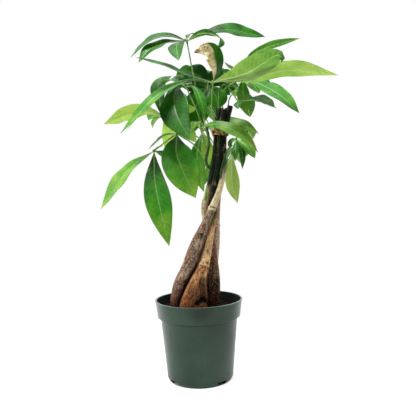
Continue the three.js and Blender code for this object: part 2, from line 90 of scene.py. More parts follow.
def add(kind, inputs, tree=None, **settings):
    """Adds a node to the tree, or else to that of its inputs. An input is given a number, a hex colour,
    or the node or socket that feeds it."""
    tree = tree or next(x.id_data for x in inputs.values() if isinstance(x, bpy.types.bpy_struct))
    node = tree.nodes.new("ShaderNode" + kind)
    for name, value in settings.items():
        setattr(node, name, value)
    for name, value in inputs.items():
        if isinstance(value, bpy.types.Node):
            value = value.outputs[0]
        if isinstance(value, bpy.types.NodeSocket):
            tree.links.new(value, node.inputs[name])
        else:
            node.inputs[name].default_value = colour(value) if isinstance(value, str) else value
    return node


def mix(share, under, over, **settings):
    """Lays one colour over another, by a share."""
    return add("MixRGB", {"Fac": share, "Color1": under, "Color2": over}, **settings)


def ranged(value, low, high, start=0, end=1, **settings):
    """Goes from start to end while the value goes from low to high, and stays there beyond them."""
    return add("MapRange", {
        "Value": value, "From Min": low, "From Max": high, "To Min": start, "To Max": end,
    }, **settings)


def blend(value, low, high, under, over, most=1):
    """Goes from one colour to another, or most of the way, while the value goes from low to high."""
    return mix(ranged(value, low, high, 0, most), under, over)


def calc(operation, *values, **settings):
    """Works out one number from one to three others."""
    return add("Math", dict(enumerate(values)), operation=operation, **settings)


def cloudy(place, size, detail=2, roughness=0.5):
    """Cloudy noise whose lumps are about as wide as the size."""
    return add("TexNoise", {"Vector": place, "Scale": 1 / size, "Detail": detail, "Roughness": roughness})


def bumpy(height, strength, distance):
    """Small relief: at full strength the surface stands up by the distance where the height is 1."""
    return add("Bump", {"Height": height, "Strength": strength, "Distance": distance})


def mesh_field(material, name):
    """What the mesh points carry under this name."""
    return add("Attribute", {}, material.node_tree, attribute_name=name).outputs["Vector"]


def parts(vector):
    """The X, Y and Z of a vector."""
    return add("SeparateXYZ", {"Vector": vector}).outputs


def new_material(name):
    """An empty material, and where each point of its pieces lies."""
    material = bpy.data.materials.new(name)
    material.use_nodes = True
    material.node_tree.nodes.clear()
    return material, add("TexCoord", {}, material.node_tree).outputs["Object"]


def surface(base, roughness, relief, looks):
    """A surface's colour, roughness and relief, and its other looks by the shader's own names."""
    return add("BsdfPrincipled", {"Base Color": base, "Roughness": roughness, "Normal": relief, **looks})


def finished(material, shader):
    """The material, once its shader is on its output."""
    add("OutputMaterial", {"Surface": shader})
    return material


def new_object(name, data):
    """An object in the scene that holds the mesh, lamp or lens."""
    item = bpy.data.objects.new(name, data)
    bpy.context.scene.collection.objects.link(item)
    return item


def turns(sides):
    """Even angles round a ring."""
    return np.arange(sides) * 2 * math.pi / sides


def rounded(corners, radius):
    """A profile of (radius, height) corners with each inner corner turned into an arc."""
    points = [corners[0]]
    for before, corner, after in zip(corners, corners[1:], corners[2:]):
        corner = Vector(corner)
        back, on = Vector(before) - corner, Vector(after) - corner
        reach = min(radius, back.length * 0.45, on.length * 0.45)
        start, end = corner + back.normalized() * reach, corner + on.normalized() * reach
        if back.length > 8 * radius:
            points.append(tuple(corner + back.normalized() * reach * 2))
        for share in (0, 0.25, 0.5, 0.75, 1):
            points.append(tuple(start.lerp(corner, share).lerp(corner.lerp(end, share), share)))
        if on.length > 8 * radius:
            points.append(tuple(corner + on.normalized() * reach * 2))
    return points + [corners[-1]]


def turned(profile, sides):
    """Rings of points about +Z, one ring for each (radius, height) of the profile."""
    turn = turns(sides)
    radius, height = np.array(profile).T
    flat = np.stack([np.cos(turn), np.sin(turn)], -1)[None] * radius[:, None, None]
    return np.concatenate([flat, np.broadcast_to(height[:, None, None], (len(radius), sides, 1))], -1)


def make_piece(name, shells, materials):
    """One mesh object from closed shells. A shell is its rings of points, the material number of each
    face (one number, or one for each face round a ring), and what its points carry for the shaders."""
    points, faces, looks, marks = [], [], [], {}
    for rings, look, *carried in shells:
        rows, sides = rings.shape[:2]
        first = sum(len(p) for p in points)
        points.append(rings.reshape(-1, 3))
        ids = first + np.arange(rows * sides).reshape(rows, sides)
        here, beside = ids, np.roll(ids, -1, axis=1)
        quads = np.stack([here[:-1], beside[:-1], beside[1:], here[1:]], -1).reshape(-1, 4)
        faces += quads.tolist() + [ids[0, ::-1].tolist(), ids[-1].tolist()]
        round_ring = np.resize(look, sides)
        looks += np.tile(round_ring, rows - 1).tolist() + [round_ring[0], round_ring[0]]
        for key, values in (carried[0] if carried else {}).items():
            marks.setdefault(key, []).append(values.reshape(rows * sides, 3))
    mesh = bpy.data.meshes.new(name)
    mesh.from_pydata(np.concatenate(points), [], faces)
    for key, values in marks.items():
        field = mesh.attributes.new(key, "FLOAT_VECTOR", "POINT")
        field.data.foreach_set("vector", np.concatenate(values).ravel())
    mesh.polygons.foreach_set("material_index", looks)
    for material in materials:
        mesh.materials.append(material)
    shape = bmesh.new()
    shape.from_mesh(mesh)
    bmesh.ops.recalc_face_normals(shape, faces=shape.faces)
    shape.to_mesh(mesh)
    shape.free()
    mesh.shade_smooth()
    return new_object(name, mesh)


def moulded_polypropylene():
    """Smooth moulded plastic: a soft satin gloss, a little faded, with a lip rubbed pale that also carries
    a painted highlight, a line of painted shade under the band's ledge and a painted dark reflection on the
    front of the band."""
    material, place = new_material("moulded_green_polypropylene")
    cloud = cloudy(place, 60 * MM, 3.0)
    haze = cloudy(place, 14 * MM, 4.0)
    green = blend(cloud, 0.35, 0.75, POT_GREEN, POT_GREEN_FADED)
    height = parts(place)["Z"]
    # The lip's top is rubbed pale and also carries a painted highlight.
    lip = ranged(height, POT_HEIGHT - LIP_WEAR_AND_HIGHLIGHT_DEPTH, POT_HEIGHT, 0, 0.5)
    lip_wear_and_highlight = mix(lip, green, POT_LIP_WEAR_AND_HIGHLIGHT)
    # A line of painted shade on the body just under the band's ledge.
    near = ranged(height, BAND_FOOT_HEIGHT - UNDER_BAND_SHADE_DEPTH, BAND_FOOT_HEIGHT - UNDER_BAND_SHADE_EDGE)
    below = calc("LESS_THAN", height, BAND_FOOT_HEIGHT)
    under_band_shade = calc("MULTIPLY", near, below)
    band_shaded = mix(under_band_shade, lip_wear_and_highlight, POT_PAINTED_SHADE)
    # A painted dark reflection on the front of the band, darkest in its middle.
    around = add("VectorMath", {0: place, 1: DARK_REFLECTION_PLACE}, operation="SUBTRACT")
    shaped = add("VectorMath", {
        0: around, 1: (1 / DARK_REFLECTION_WIDTH, 1 / DARK_REFLECTION_WIDTH, 1 / DARK_REFLECTION_HEIGHT),
    }, operation="MULTIPLY")
    from_dark_reflection = add("VectorMath", {0: shaped}, operation="LENGTH").outputs["Value"]
    dark_reflection = ranged(from_dark_reflection, 1.0, 0.3, 0, 0.6)
    reflection_painted = mix(dark_reflection, band_shaded, POT_PAINTED_SHADE)
    rough = ranged(haze, 0.3, 0.7, 0.27, 0.34)
    wavy = bumpy(cloud, 0.5, 1.2 * MM)
    return finished(material, surface(reflection_painted, rough, wavy, {"IOR": 1.33}))


def shade_painted_inner_polypropylene():
    """The inner wall: the same plastic painted almost black in cloudy blotches, as painted shade inside the
    pot.
    """
    material, place = new_material("shade_painted_inner_polypropylene")
    shade_blotch = cloudy(place, 9 * MM, 5.0)
    shade_share = ranged(shade_blotch, 0.35, 0.75, 1.0, 0.55)
    shade_and_stain = mix(shade_share, POT_GREEN, INNER_WALL_PAINTED_SHADE)
    bump = bumpy(shade_blotch, 0.4, 0.3 * MM)
    return finished(material, surface(shade_and_stain, 0.8, bump, {"Specular IOR Level": 0.15}))


def cut_slots(pot):
    """Cuts the drain slots through the pot's bottom corner."""
    for i in range(DRAIN_SLOTS):
        shape = bmesh.new()
        bmesh.ops.create_cube(shape, size=1, matrix=(
            Matrix.Rotation(FIRST_DRAIN_TURN + i * 2 * math.pi / DRAIN_SLOTS, 4, "Z")
            @ Matrix.Translation((BODY_FOOT_RADIUS, 0, 0))
            @ Matrix.Diagonal((DRAIN_REACH * 2, DRAIN_WIDTH, DRAIN_HEIGHT * 2, 1))
        ))
        bmesh.ops.bevel(
            shape, geom=shape.edges, offset=MOULD_RADIUS, segments=3, profile=0.5, affect="EDGES",
        )
        mesh = bpy.data.meshes.new("drain_slot_cutter")
        shape.to_mesh(mesh)
        shape.free()
        # The slots' cut faces take the inner wall's material, so they show painted shade.
        mesh.polygons.foreach_set("material_index", [1] * len(mesh.polygons))
        cutter = new_object("drain_slot_cutter", mesh)
        cut = pot.modifiers.new("slot", "BOOLEAN")
        cut.object = cutter
        cut.solver = "EXACT"
        cut_mesh = bpy.data.meshes.new_from_object(pot.evaluated_get(bpy.context.evaluated_depsgraph_get()))
        pot.modifiers.clear()
        pot.data = cut_mesh
        bpy.data.objects.remove(cutter)
    pot.data.set_sharp_from_angle(angle=SHARP_ANGLE)


pot_outside = [
    (POT_MIDDLE, 0), (FLOOR_RADIUS, 0), (BODY_FOOT_RADIUS, CORNER_HEIGHT),
    (BODY_TOP_RADIUS, BAND_FOOT_HEIGHT - MOULD_RADIUS), (BAND_FOOT_RADIUS, BAND_FOOT_HEIGHT),
    (LIP_RADIUS - LIP_OVERHANG, POT_HEIGHT - LIP_DEPTH), (LIP_RADIUS, POT_HEIGHT - LIP_DEPTH),
    (LIP_RADIUS, POT_HEIGHT), (LIP_RADIUS - LIP_OVERHANG - POT_WALL, POT_HEIGHT),
]
pot_inside = [
    (BAND_FOOT_RADIUS - POT_WALL, BAND_FOOT_HEIGHT + POT_WALL),
    (BODY_TOP_RADIUS - POT_WALL, BAND_FOOT_HEIGHT), (BODY_FOOT_RADIUS - POT_WALL, CORNER_HEIGHT),
    (FLOOR_RADIUS - POT_WALL, POT_WALL), (POT_MIDDLE, POT_WALL),
]
pot = make_piece(
    "nursery_pot", [(turned(rounded(pot_outside + pot_inside, MOULD_RADIUS), POT_SIDES), 0)],
    [moulded_polypropylene(), shade_painted_inner_polypropylene()],
)
# The inner wall, up to a millimetre under the rim, takes the material with painted shade.
for face in pot.data.polygons:
    inward = face.normal.x * face.center.x + face.normal.y * face.center.y < 0
    if inward and face.center.z < INNER_WALL_TOP:
        face.material_index = 1
cut_slots(pot)
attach(pot, "root")
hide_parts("pot")

# Potting soil: a plug of dark, moist peat mix that fills the pot to 12 mm under its lip, heaped a little
# against the stems. Chips of reddish-brown composted bark lie loose all over its top.
SOIL_EDGE_HEIGHT = 122 * MM
SOIL_EDGE_RADIUS = 71.2 * MM
SOIL_CROWN = 4 * MM
SOIL_FOOT_RADIUS = 47 * MM
SOIL_FLOOR = POT_WALL + 0.3 * MM
SOIL_CORNER_HEIGHT = 11 * MM
SOIL_SIDES = 150
SOIL_TOP_RINGS = 44
SOIL_HEAP = 1.54 * MM
SOIL_HEAP_REACH = 6 * MM
SOIL_GAP = 2.7 * MM
SOIL_LUMP = 16 * MM
SOIL_LUMP_HEIGHT = 1.3 * MM
SOIL_CRUMB = 4.5 * MM
SOIL_CRUMB_HEIGHT = 1.5 * MM
SOIL_SUNK = 1.2 * MM
# Where each stem goes into the soil, in mm: x, y and radius.
STEM_FEET = [(-9, -29, 22), (-37, -14, 11.5), (25, -3, 10.5), (12, 15, 13.5), (-14, 17, 14.5)]
CHIPS = 520
CHIP_SEED = 7
CHIP_LONGEST = 7 * MM
CHIP_MARGIN = 3 * MM
CHIP_RINGS = (0, 0.35, 0.7, 1)
CHIP_SIDES = 6
CHIP_TONE_SIZE = 9 * MM
PEAT = "#0c0907"
PEAT_DRY = "#1e1611"
BARK_CHIP = "#381e10"
BARK_CHIP_DARK = "#170d08"


def soil_height(x, y):
    """How high the soil's top stands: crowned, heaped round each stem, and crumbly."""
    share = math.hypot(x, y) / SOIL_EDGE_RADIUS
    height = SOIL_EDGE_HEIGHT + SOIL_CROWN * (1 - min(share, 1) ** 2)
    for foot_x, foot_y, radius in STEM_FEET:
        beyond = math.hypot(x - foot_x * MM, y - foot_y * MM) - radius * MM
        height += SOIL_HEAP * math.exp(-max(beyond, 0) / SOIL_HEAP_REACH)
    lumps = noise.noise(Vector((x, y, 0)) / SOIL_LUMP) * SOIL_LUMP_HEIGHT
    crumbs = noise.turbulence(Vector((x, y, 1)) / SOIL_CRUMB, 3, True) * SOIL_CRUMB_HEIGHT
    return height + lumps + crumbs - SOIL_SUNK


def peat_mix():
    """Moist peat: nearly black and matt, with drier brown crumbs that catch a little light."""
    material, place = new_material("moist_peat_mix")
    crumb = cloudy(place, 2.4 * MM, 6.0, 0.7)
    brown = blend(crumb, 0.5, 0.72, PEAT, PEAT_DRY)
    bump = bumpy(crumb, 1.0, 1.4 * MM)
    return finished(material, surface(brown, 0.95, bump, {"Specular IOR Level": 0.05}))


def composted_bark():
    """Composted bark chips: reddish-brown and fibrous, no two of the same tone."""
    material, place = new_material("composted_bark_chips")
    fibre = cloudy(place, 2 * MM, 4.0)
    tone = add("TexVoronoi", {"Vector": place, "Scale": 1 / CHIP_TONE_SIZE})
    mixed = calc("MULTIPLY", fibre, tone.outputs["Distance"])
    brown = blend(mixed, 0.1, 0.35, BARK_CHIP_DARK, BARK_CHIP)
    bump = bumpy(fibre, 0.6, 0.5 * MM)
    return finished(material, surface(brown, 0.85, bump, {"Specular IOR Level": 0.1}))


def soil_rings():
    """The plug's rings, from its foot up its side and over its crumbly top to the middle."""
    side = turned([
        (POT_MIDDLE, SOIL_FLOOR), (SOIL_FOOT_RADIUS, SOIL_FLOOR),
        (BODY_FOOT_RADIUS - SOIL_GAP, SOIL_CORNER_HEIGHT), (BODY_TOP_RADIUS - SOIL_GAP, BAND_FOOT_HEIGHT),
        (BAND_FOOT_RADIUS - SOIL_GAP, BAND_FOOT_HEIGHT + SOIL_GAP),
    ], SOIL_SIDES)
    radii = SOIL_EDGE_RADIUS * np.sqrt(np.linspace(1, 0.0004, SOIL_TOP_RINGS))
    top = turned([(radius, 0) for radius in radii], SOIL_SIDES)
    for ring in top:
        for point in ring:
            point[2] = soil_height(point[0], point[1])
    return np.concatenate([side, top])


def chip(rng):
    """One loose chip: a thin, tapered, uneven flake that lies on the soil at its own slant."""
    while True:
        x, y = rng.uniform(-1, 1) * SOIL_EDGE_RADIUS, rng.uniform(-1, 1) * SOIL_EDGE_RADIUS
        if math.hypot(x, y) < SOIL_EDGE_RADIUS - CHIP_MARGIN:
            break
    length = CHIP_LONGEST * rng.uniform(0.25, 1) ** 1.5
    width, thick = length * rng.uniform(0.3, 0.7), length * rng.uniform(0.12, 0.3)
    rings = np.zeros((len(CHIP_RINGS), CHIP_SIDES, 3))
    for row, share in enumerate(CHIP_RINGS):
        taper = math.sin(math.pi * (0.15 + 0.7 * share))
        for column in range(CHIP_SIDES):
            turn = column * 2 * math.pi / CHIP_SIDES + rng.uniform(-0.3, 0.3)
            rings[row, column] = (
                (share - 0.5) * length + rng.uniform(-0.1, 0.1) * length,
                math.cos(turn) * width / 2 * taper, math.sin(turn) * thick / 2 * taper,
            )
    slant = Matrix.Translation((x, y, soil_height(x, y) + thick * 0.3)) @ (
        Matrix.Rotation(rng.uniform(0, 2 * math.pi), 4, "Z")
        @ Matrix.Rotation(rng.uniform(-0.35, 0.35), 4, "Y")
        @ Matrix.Rotation(rng.uniform(-0.4, 0.4), 4, "X")
    )
    return rings @ np.array(slant.to_3x3()).T + np.array(slant.translation)


soil = make_piece("potting_soil", [(soil_rings(), 0)], [peat_mix()])
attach(soil, "root")
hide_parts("soil")
chip_rng = random.Random(CHIP_SEED)
chips = make_piece("bark_chips", [(chip(chip_rng), 0) for _ in range(CHIPS)], [composted_bark()])
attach(chips, "root")

# Woody stems: five young trunks plaited while they were soft, swollen at the foot and cut off at the
# top. Old bark is brown, corky and ringed, young bark further up is nearly black-green and ridged.
STEM_SIDES = 48
STEM_RINGS = 260
RIDGE_HEIGHT = 0.45 * MM
RIDGE_LENGTH = 60 * MM
FINE_RIDGE_LENGTH = 26 * MM
LUMP_SHARE = 0.05
LUMP_LENGTH = 38 * MM
RING_SPREAD = 1.6 * MM
SCAR_SPREAD = 1.1 * MM
TEAR_HEIGHT = 1.5 * MM
CURVE_STEP = 0.002
NEIGHBOUR_STEPS = 160
CUT_RINGS = (0.9, 0.72, 0.4, 0.02)
# How far the painted shade in the crevices between stems reaches, and its colour.
CREVICE_START = 3.5 * MM
CREVICE_LEAST = 1.5 * MM
CREVICE_MOST = 11 * MM
CREVICE_PAINTED_SHADE = "#0d0806"
YOUNG_START = 10 * MM
YOUNG_FULL = 24 * MM
YOUNG_RAGGED = 34 * MM
YOUNG_BARK = "#071006"
YOUNG_BARK_RIDGE = "#325218"
YOUNG_BARK_PEEL = "#8a6a4a"
BARK_RUST = "#8c5030"
BARK_CREAM = "#f4deb2"
MOSS_GREEN = "#4c9030"
PORE_BROWN = "#1d120c"
FOOT_TONE = "#9a5434"
FOOT_FROM = 122 * MM
FOOT_TO = 185 * MM
PORE_SPACING = 4.4 * MM
CUT_WOOD = "#b08a5c"
CUT_WOOD_DARK = "#4a3524"
# Each stem, in mm: its bark's light, middle and dark tone; its leaf ring (height, how tall); the height
# where young bark starts; a pale stretch (from, to, share); marks on its bark (start, end, reach, how
# black, how mossy, dent); and the line of its middle (x, y, z, radius).
STEMS = {
    "stem_front_middle": {
        "tones": ("#ffc888", "#cc844a", "#462412"), "ring": (197, 1.2), "young_from": 278,
        "pale": (198, 258, 0.3),
        "marks": [
            ((16.5, -30, 201), (19, -28, 201), 1.6, 1, 0, 0.8),
            # The next two marks paint shade into the groove and over the lower right lobe, which lie behind
            # the ridge.
            ((10, -36, 184), (-1, -48, 150), 4, 0.4, 0, 2.2),
            ((10, -40, 172), (10, -42, 146), 13, 0.75, 0, 0),
            ((14, -27, 156), (14, -30, 140), 8, 0, 0, -2.5),
            # The arch hollow at the foot is painted black as its shade.
            ((-2, -48.5, 137), (8, -43, 142), 6.5, 1, 0, 2), ((8, -43, 142), (15, -33, 138), 7, 1, 0, 2),
            ((-9, -53, 124), (-7, -43, 160), 17, 0.32, 0, 0),
            ((28, -12, 268), (28.5, -8, 281), 3.5, 0, 1, 0),
        ],
        "line": [
            (-6, -26, 80, 14), (-9, -29, 124, 24), (-6, -29, 145, 19.5), (-1, -27, 167, 14.2),
            (6.5, -25, 186, 10.3), (11.5, -23, 197, 8.4), (14.5, -21, 209, 7.6), (20.5, -17, 233, 6.2),
            (25.5, -10, 255, 5), (30, -1, 284, 5.5), (29, -6, 308, 5.4), (33, -9, 335, 5.3),
            (39, -9.5, 362, 5.1), (42, -8.5, 391, 4.7), (44.6, -7.9, 425, 4.4), (52, -10, 463, 4.9),
        ],
    },
    "stem_front_left": {
        "tones": ("#c8ab94", "#87695a", "#3c2a24"), "ring": (292, 1.3), "young_from": 366,
        "pale": (288, 350, 0.9),
        "marks": [
            ((6, -25.5, 249.6), (9.8, -25, 249), 2.4, 1, 0, 0.8),
            ((20, -19, 297), (33, -18, 293), 2.2, 0.8, 0, 0.4),
            ((31, -19, 286), (35, -15, 288), 2, 0.5, 0, 0),
        ],
        "line": [
            (-33, -12, 80, 9), (-37, -14, 128, 11.5), (-29, -16, 165, 12.8), (-16, -17, 192, 12.5),
            (-6.5, -17, 215, 12.4), (2.5, -16, 238, 10.8), (14.5, -14, 266, 7.4), (27, -13, 292, 6),
            (38, -11, 318, 5.5), (46, -7, 345, 5.2), (48.5, -5, 362, 5), (49.5, -4, 391, 4.7),
            (52.3, -3.7, 425, 4.4), (63, -4, 470, 4.9),
        ],
    },
    "stem_front_right": {
        "tones": ("#84684f", "#4e392b", "#241711"), "ring": (262, 0.5), "young_from": 330,
        "pale": (268, 330, 0.6),
        "marks": [((16, -5, 308), (18, -6, 328), 3, 0, 1, 0)],
        "line": [
            (23, -4, 80, 8), (25, -3, 124, 10.5), (28, -3, 155, 9.8), (28.5, -2, 180, 8.8),
            (26, 0, 206, 8), (21.5, 4, 232, 6.8), (19, 6, 256, 6.5), (15, 5, 277, 6), (14, 3, 296, 5.9),
            (19, 0, 316, 5.7), (26, -1, 340, 5.4), (30, -1, 362, 5.1), (35, -2, 391, 4.7),
            (38, -2, 425, 4.4), (43.5, -2, 466, 4.9),
        ],
    },
    "stem_back_right": {
        "tones": ("#f6dcc8", "#d2b09a", "#7c6050"), "ring": (262, 0.9), "young_from": 318,
        "pale": (0, 0, 0), "marks": [],
        "line": [
            (10, 16, 80, 9), (12, 15, 124, 13.5), (18, 17, 156, 12.5), (26, 17, 197, 10),
            (32, 15, 236, 7.6), (34, 13, 268, 6.2), (36, 11, 295, 5.8), (39, 11, 325, 5.4),
            (43.5, 8.5, 360, 5.1), (47, 6.2, 391, 4.7), (50.6, 5, 425, 4.4), (58.5, 8, 468, 4.9),
        ],
    },
    "stem_back_left": {
        "tones": ("#a58568", "#785a43", "#3b2a20"), "ring": (230, 0.7), "young_from": 300,
        "pale": (0, 0, 0), "marks": [],
        "line": [
            (-15, 18, 80, 9), (-14, 17, 124, 14.5), (-9, 19, 156, 13.5), (0, 18, 197, 11.5),
            (9, 17, 237, 8.8), (17, 16, 269, 6.8), (23, 15, 295, 5.8), (27, 12, 325, 5.4),
            (33, 9, 360, 5.1), (38, 7, 391, 4.7), (41.9, 6.1, 425, 4.4), (47.5, 8, 469, 4.9),
        ],
    },
}


def curve_point(points, share):
    """The point at a share of the way along a centripetal Catmull-Rom curve through the points."""
    last = len(points) - 1
    i = min(int(share * last), last - 1)
    w = share * last - i
    a, b = points[i], points[i + 1]
    before = points[i - 1] if i > 0 else 2 * a - b
    after = points[i + 2] if i + 2 <= last else 2 * b - a
    span = math.sqrt(np.linalg.norm(b - a)) or 1
    span_before = math.sqrt(np.linalg.norm(a - before)) or span
    span_after = math.sqrt(np.linalg.norm(after - b)) or span
    leave = ((a - before) / span_before - (b - before) / (span_before + span) + (b - a) / span) * span
    arrive = ((b - a) / span - (after - a) / (span + span_after) + (after - b) / span_after) * span
    bend = 3 * (b - a) - 2 * leave - arrive
    return a + leave * w + bend * w ** 2 + (2 * (a - b) + leave + arrive) * w ** 3


def run_of(points, shares):
    """Points, unit tangents and lengths along the curve, at shares of its knots."""
    at = np.array([curve_point(points, share) for share in shares])
    ahead = np.array([curve_point(points, min(share + CURVE_STEP, 1)) for share in shares])
    behind = np.array([curve_point(points, max(share - CURVE_STEP, 0)) for share in shares])
    tangent = ahead - behind
    tangent /= np.linalg.norm(tangent, axis=1, keepdims=True)
    steps = np.linalg.norm(np.diff(at, axis=0), axis=1)
    return at, tangent, np.concatenate([[0], np.cumsum(steps)])


def across_from(tangent, side):
    """The direction nearest to side that is square to each tangent."""
    across = side - tangent * np.sum(tangent * side, axis=1)[:, None]
    return across / np.linalg.norm(across, axis=1, keepdims=True)


def girth_of(line, shares):
    """The fourth number of a line's points, the radius, at shares of its knots."""
    return np.array([curve_point(line[:, 3:], share)[0] for share in shares])


def spokes_from(across, forwards, turn):
    """Directions out of each point of a line, at the angles round it."""
    return (
        across[:, None] * np.cos(turn)[None, :, None] + forwards[:, None] * np.sin(turn)[None, :, None]
    )


def rolled_out(turn, radius, run):
    """Where each point of a tube would lie if the tube were straight, so its pattern can follow it."""
    radius = np.broadcast_to(radius, (len(run), len(turn)))
    along = np.broadcast_to(run[:, None], radius.shape)
    return np.stack([np.cos(turn)[None] * radius, np.sin(turn)[None] * radius, along], -1)


def smooth_step(low, high, value):
    """Rises smoothly from 0 at low to 1 at high."""
    share = np.clip((value - low) / (high - low), 0, 1)
    return share * share * (3 - 2 * share)


def stem_bark(name, tones, young_from):
    """Corky bark: a matt, mottled skin with rusty patches and pores, paler at its leaf rings, with dark
    scars and painted shade that turn it nearly black in the crevices between stems and in hollows. Above
    young_from it is ridged, black-green young bark that peels in strips."""
    light, middle, dark = tones
    material, place = new_material(name)
    grain = mesh_field(material, "grain")
    height, ring_mark, foot_mark = parts(mesh_field(material, "bark"))
    scar_and_shade_mark, pale_mark, moss_mark = parts(mesh_field(material, "wear"))
    long_grain = add("Mapping", {"Vector": grain, "Scale": (1.0, 1.0, 0.18)})
    streak = cloudy(long_grain, 2.4 * MM, 6.0, 0.65)
    short_grain = add("Mapping", {"Vector": grain, "Scale": (1.0, 1.0, 0.7)})
    mottle = cloudy(short_grain, 3 * MM, 6.0, 0.7)
    patch = cloudy(place, 18 * MM, 4.0)
    scale = cloudy(place, 2 * MM, 5.0, 0.7)
    old = blend(patch, 0.32, 0.74, middle, light)
    second = add("SeparateColor", {"Color": patch.outputs["Color"]}).outputs["Green"]
    rusty = ranged(second, 0.5, 0.66, 0, 0.6)
    rusted = mix(rusty, old, BARK_RUST)
    cream = mix(pale_mark, rusted, BARK_CREAM)
    both = calc("MULTIPLY", mottle, streak)
    dusk = ranged(both, 0.28, 0.19, 0, 0.9)
    cleared = calc("MULTIPLY_ADD", pale_mark, -0.55, dusk, use_clamp=True)
    streaked = mix(cleared, cream, dark)
    flecked = blend(scale, 0.56, 0.64, streaked, BARK_CREAM, 0.85)
    flat_grain = add("Mapping", {"Vector": grain, "Scale": (1.0, 1.0, 1.7)})
    pores = add("TexVoronoi", {"Vector": flat_grain, "Scale": 1 / PORE_SPACING})
    pit = ranged(pores.outputs["Distance"], 0.26, 0.14, 0, 0.85)
    few = add("SeparateColor", {"Color": pores.outputs["Color"]}).outputs["Red"]
    chosen = calc("GREATER_THAN", few, 0.55)
    pitted = calc("MULTIPLY", pit, chosen)
    old_bark = mix(pitted, flecked, PORE_BROWN)
    ring = mix(ring_mark, old_bark, BARK_CREAM)
    foot = mix(foot_mark, ring, FOOT_TONE, blend_type="MULTIPLY")
    young = blend(streak, 0.5, 0.7, YOUNG_BARK, YOUNG_BARK_RIDGE)
    peel_noise = calc("MULTIPLY", patch, streak)
    peeled = blend(peel_noise, 0.33, 0.37, young, YOUNG_BARK_PEEL)
    ragged = calc("MULTIPLY", streak, YOUNG_RAGGED)
    level = calc("ADD", height, ragged)
    youth = ranged(level, young_from * MM + YOUNG_START, young_from * MM + YOUNG_FULL)
    bark = mix(youth, foot, peeled)
    mossy = mix(moss_mark, bark, MOSS_GREEN)
    # Scars, and painted shade in crevices and hollows, turn the bark nearly black.
    scars_and_shade = mix(scar_and_shade_mark, mossy, CREVICE_PAINTED_SHADE)
    relief = calc("ADD", mottle, scale)
    sunk = calc("SUBTRACT", relief, pitted)
    bump = bumpy(sunk, 0.9, 1.0 * MM)
    rough = ranged(youth, 0, 1, 0.85, 0.65)
    return finished(material, surface(scars_and_shade, rough, bump, {"Specular IOR Level": 0.15}))


def cut_end():
    """A pruned end: dry, pale wood gone brown, with darker flecks."""
    material, place = new_material("cut_stem_wood")
    fleck = cloudy(place, 1.6 * MM, 5.0)
    wood = blend(fleck, 0.42, 0.62, CUT_WOOD_DARK, CUT_WOOD)
    bump = bumpy(fleck, 0.8, 0.6 * MM)
    return finished(material, surface(wood, 0.9, bump, {"IOR": 1.45}))


def near_mark(points, start, end, reach):
    """How far each point lies within reach of the line from start to end, as a share."""
    start, end = np.array(start) * MM, np.array(end) * MM
    line = end - start
    share = np.clip((points - start) @ line / (line @ line), 0, 1)
    gap = np.linalg.norm(points - start - share[..., None] * line, axis=-1)
    return smooth_step(reach * MM, reach * MM * 0.4, gap)


def near_others(points, others, reach):
    """How close each point lies to the bark of the other stems, as a share of its ring's reach."""
    close = np.zeros(points.shape[:-1])
    for other in others:
        line = np.array(other["line"]) * MM
        for share in np.linspace(0, 1, NEIGHBOUR_STEPS):
            x, y, z, radius = curve_point(line, share)
            gap = np.linalg.norm(points - (x, y, z), axis=-1) - radius
            close = np.maximum(close, smooth_step(1, 0, gap / reach[:, None]))
    return close


def torn_edge(turn, seed):
    """How far a cut end's edge stands up or is torn down, round the ring."""
    return np.array([noise.noise(Vector((math.cos(a) * 2, math.sin(a) * 2, seed * 3.7))) for a in turn])


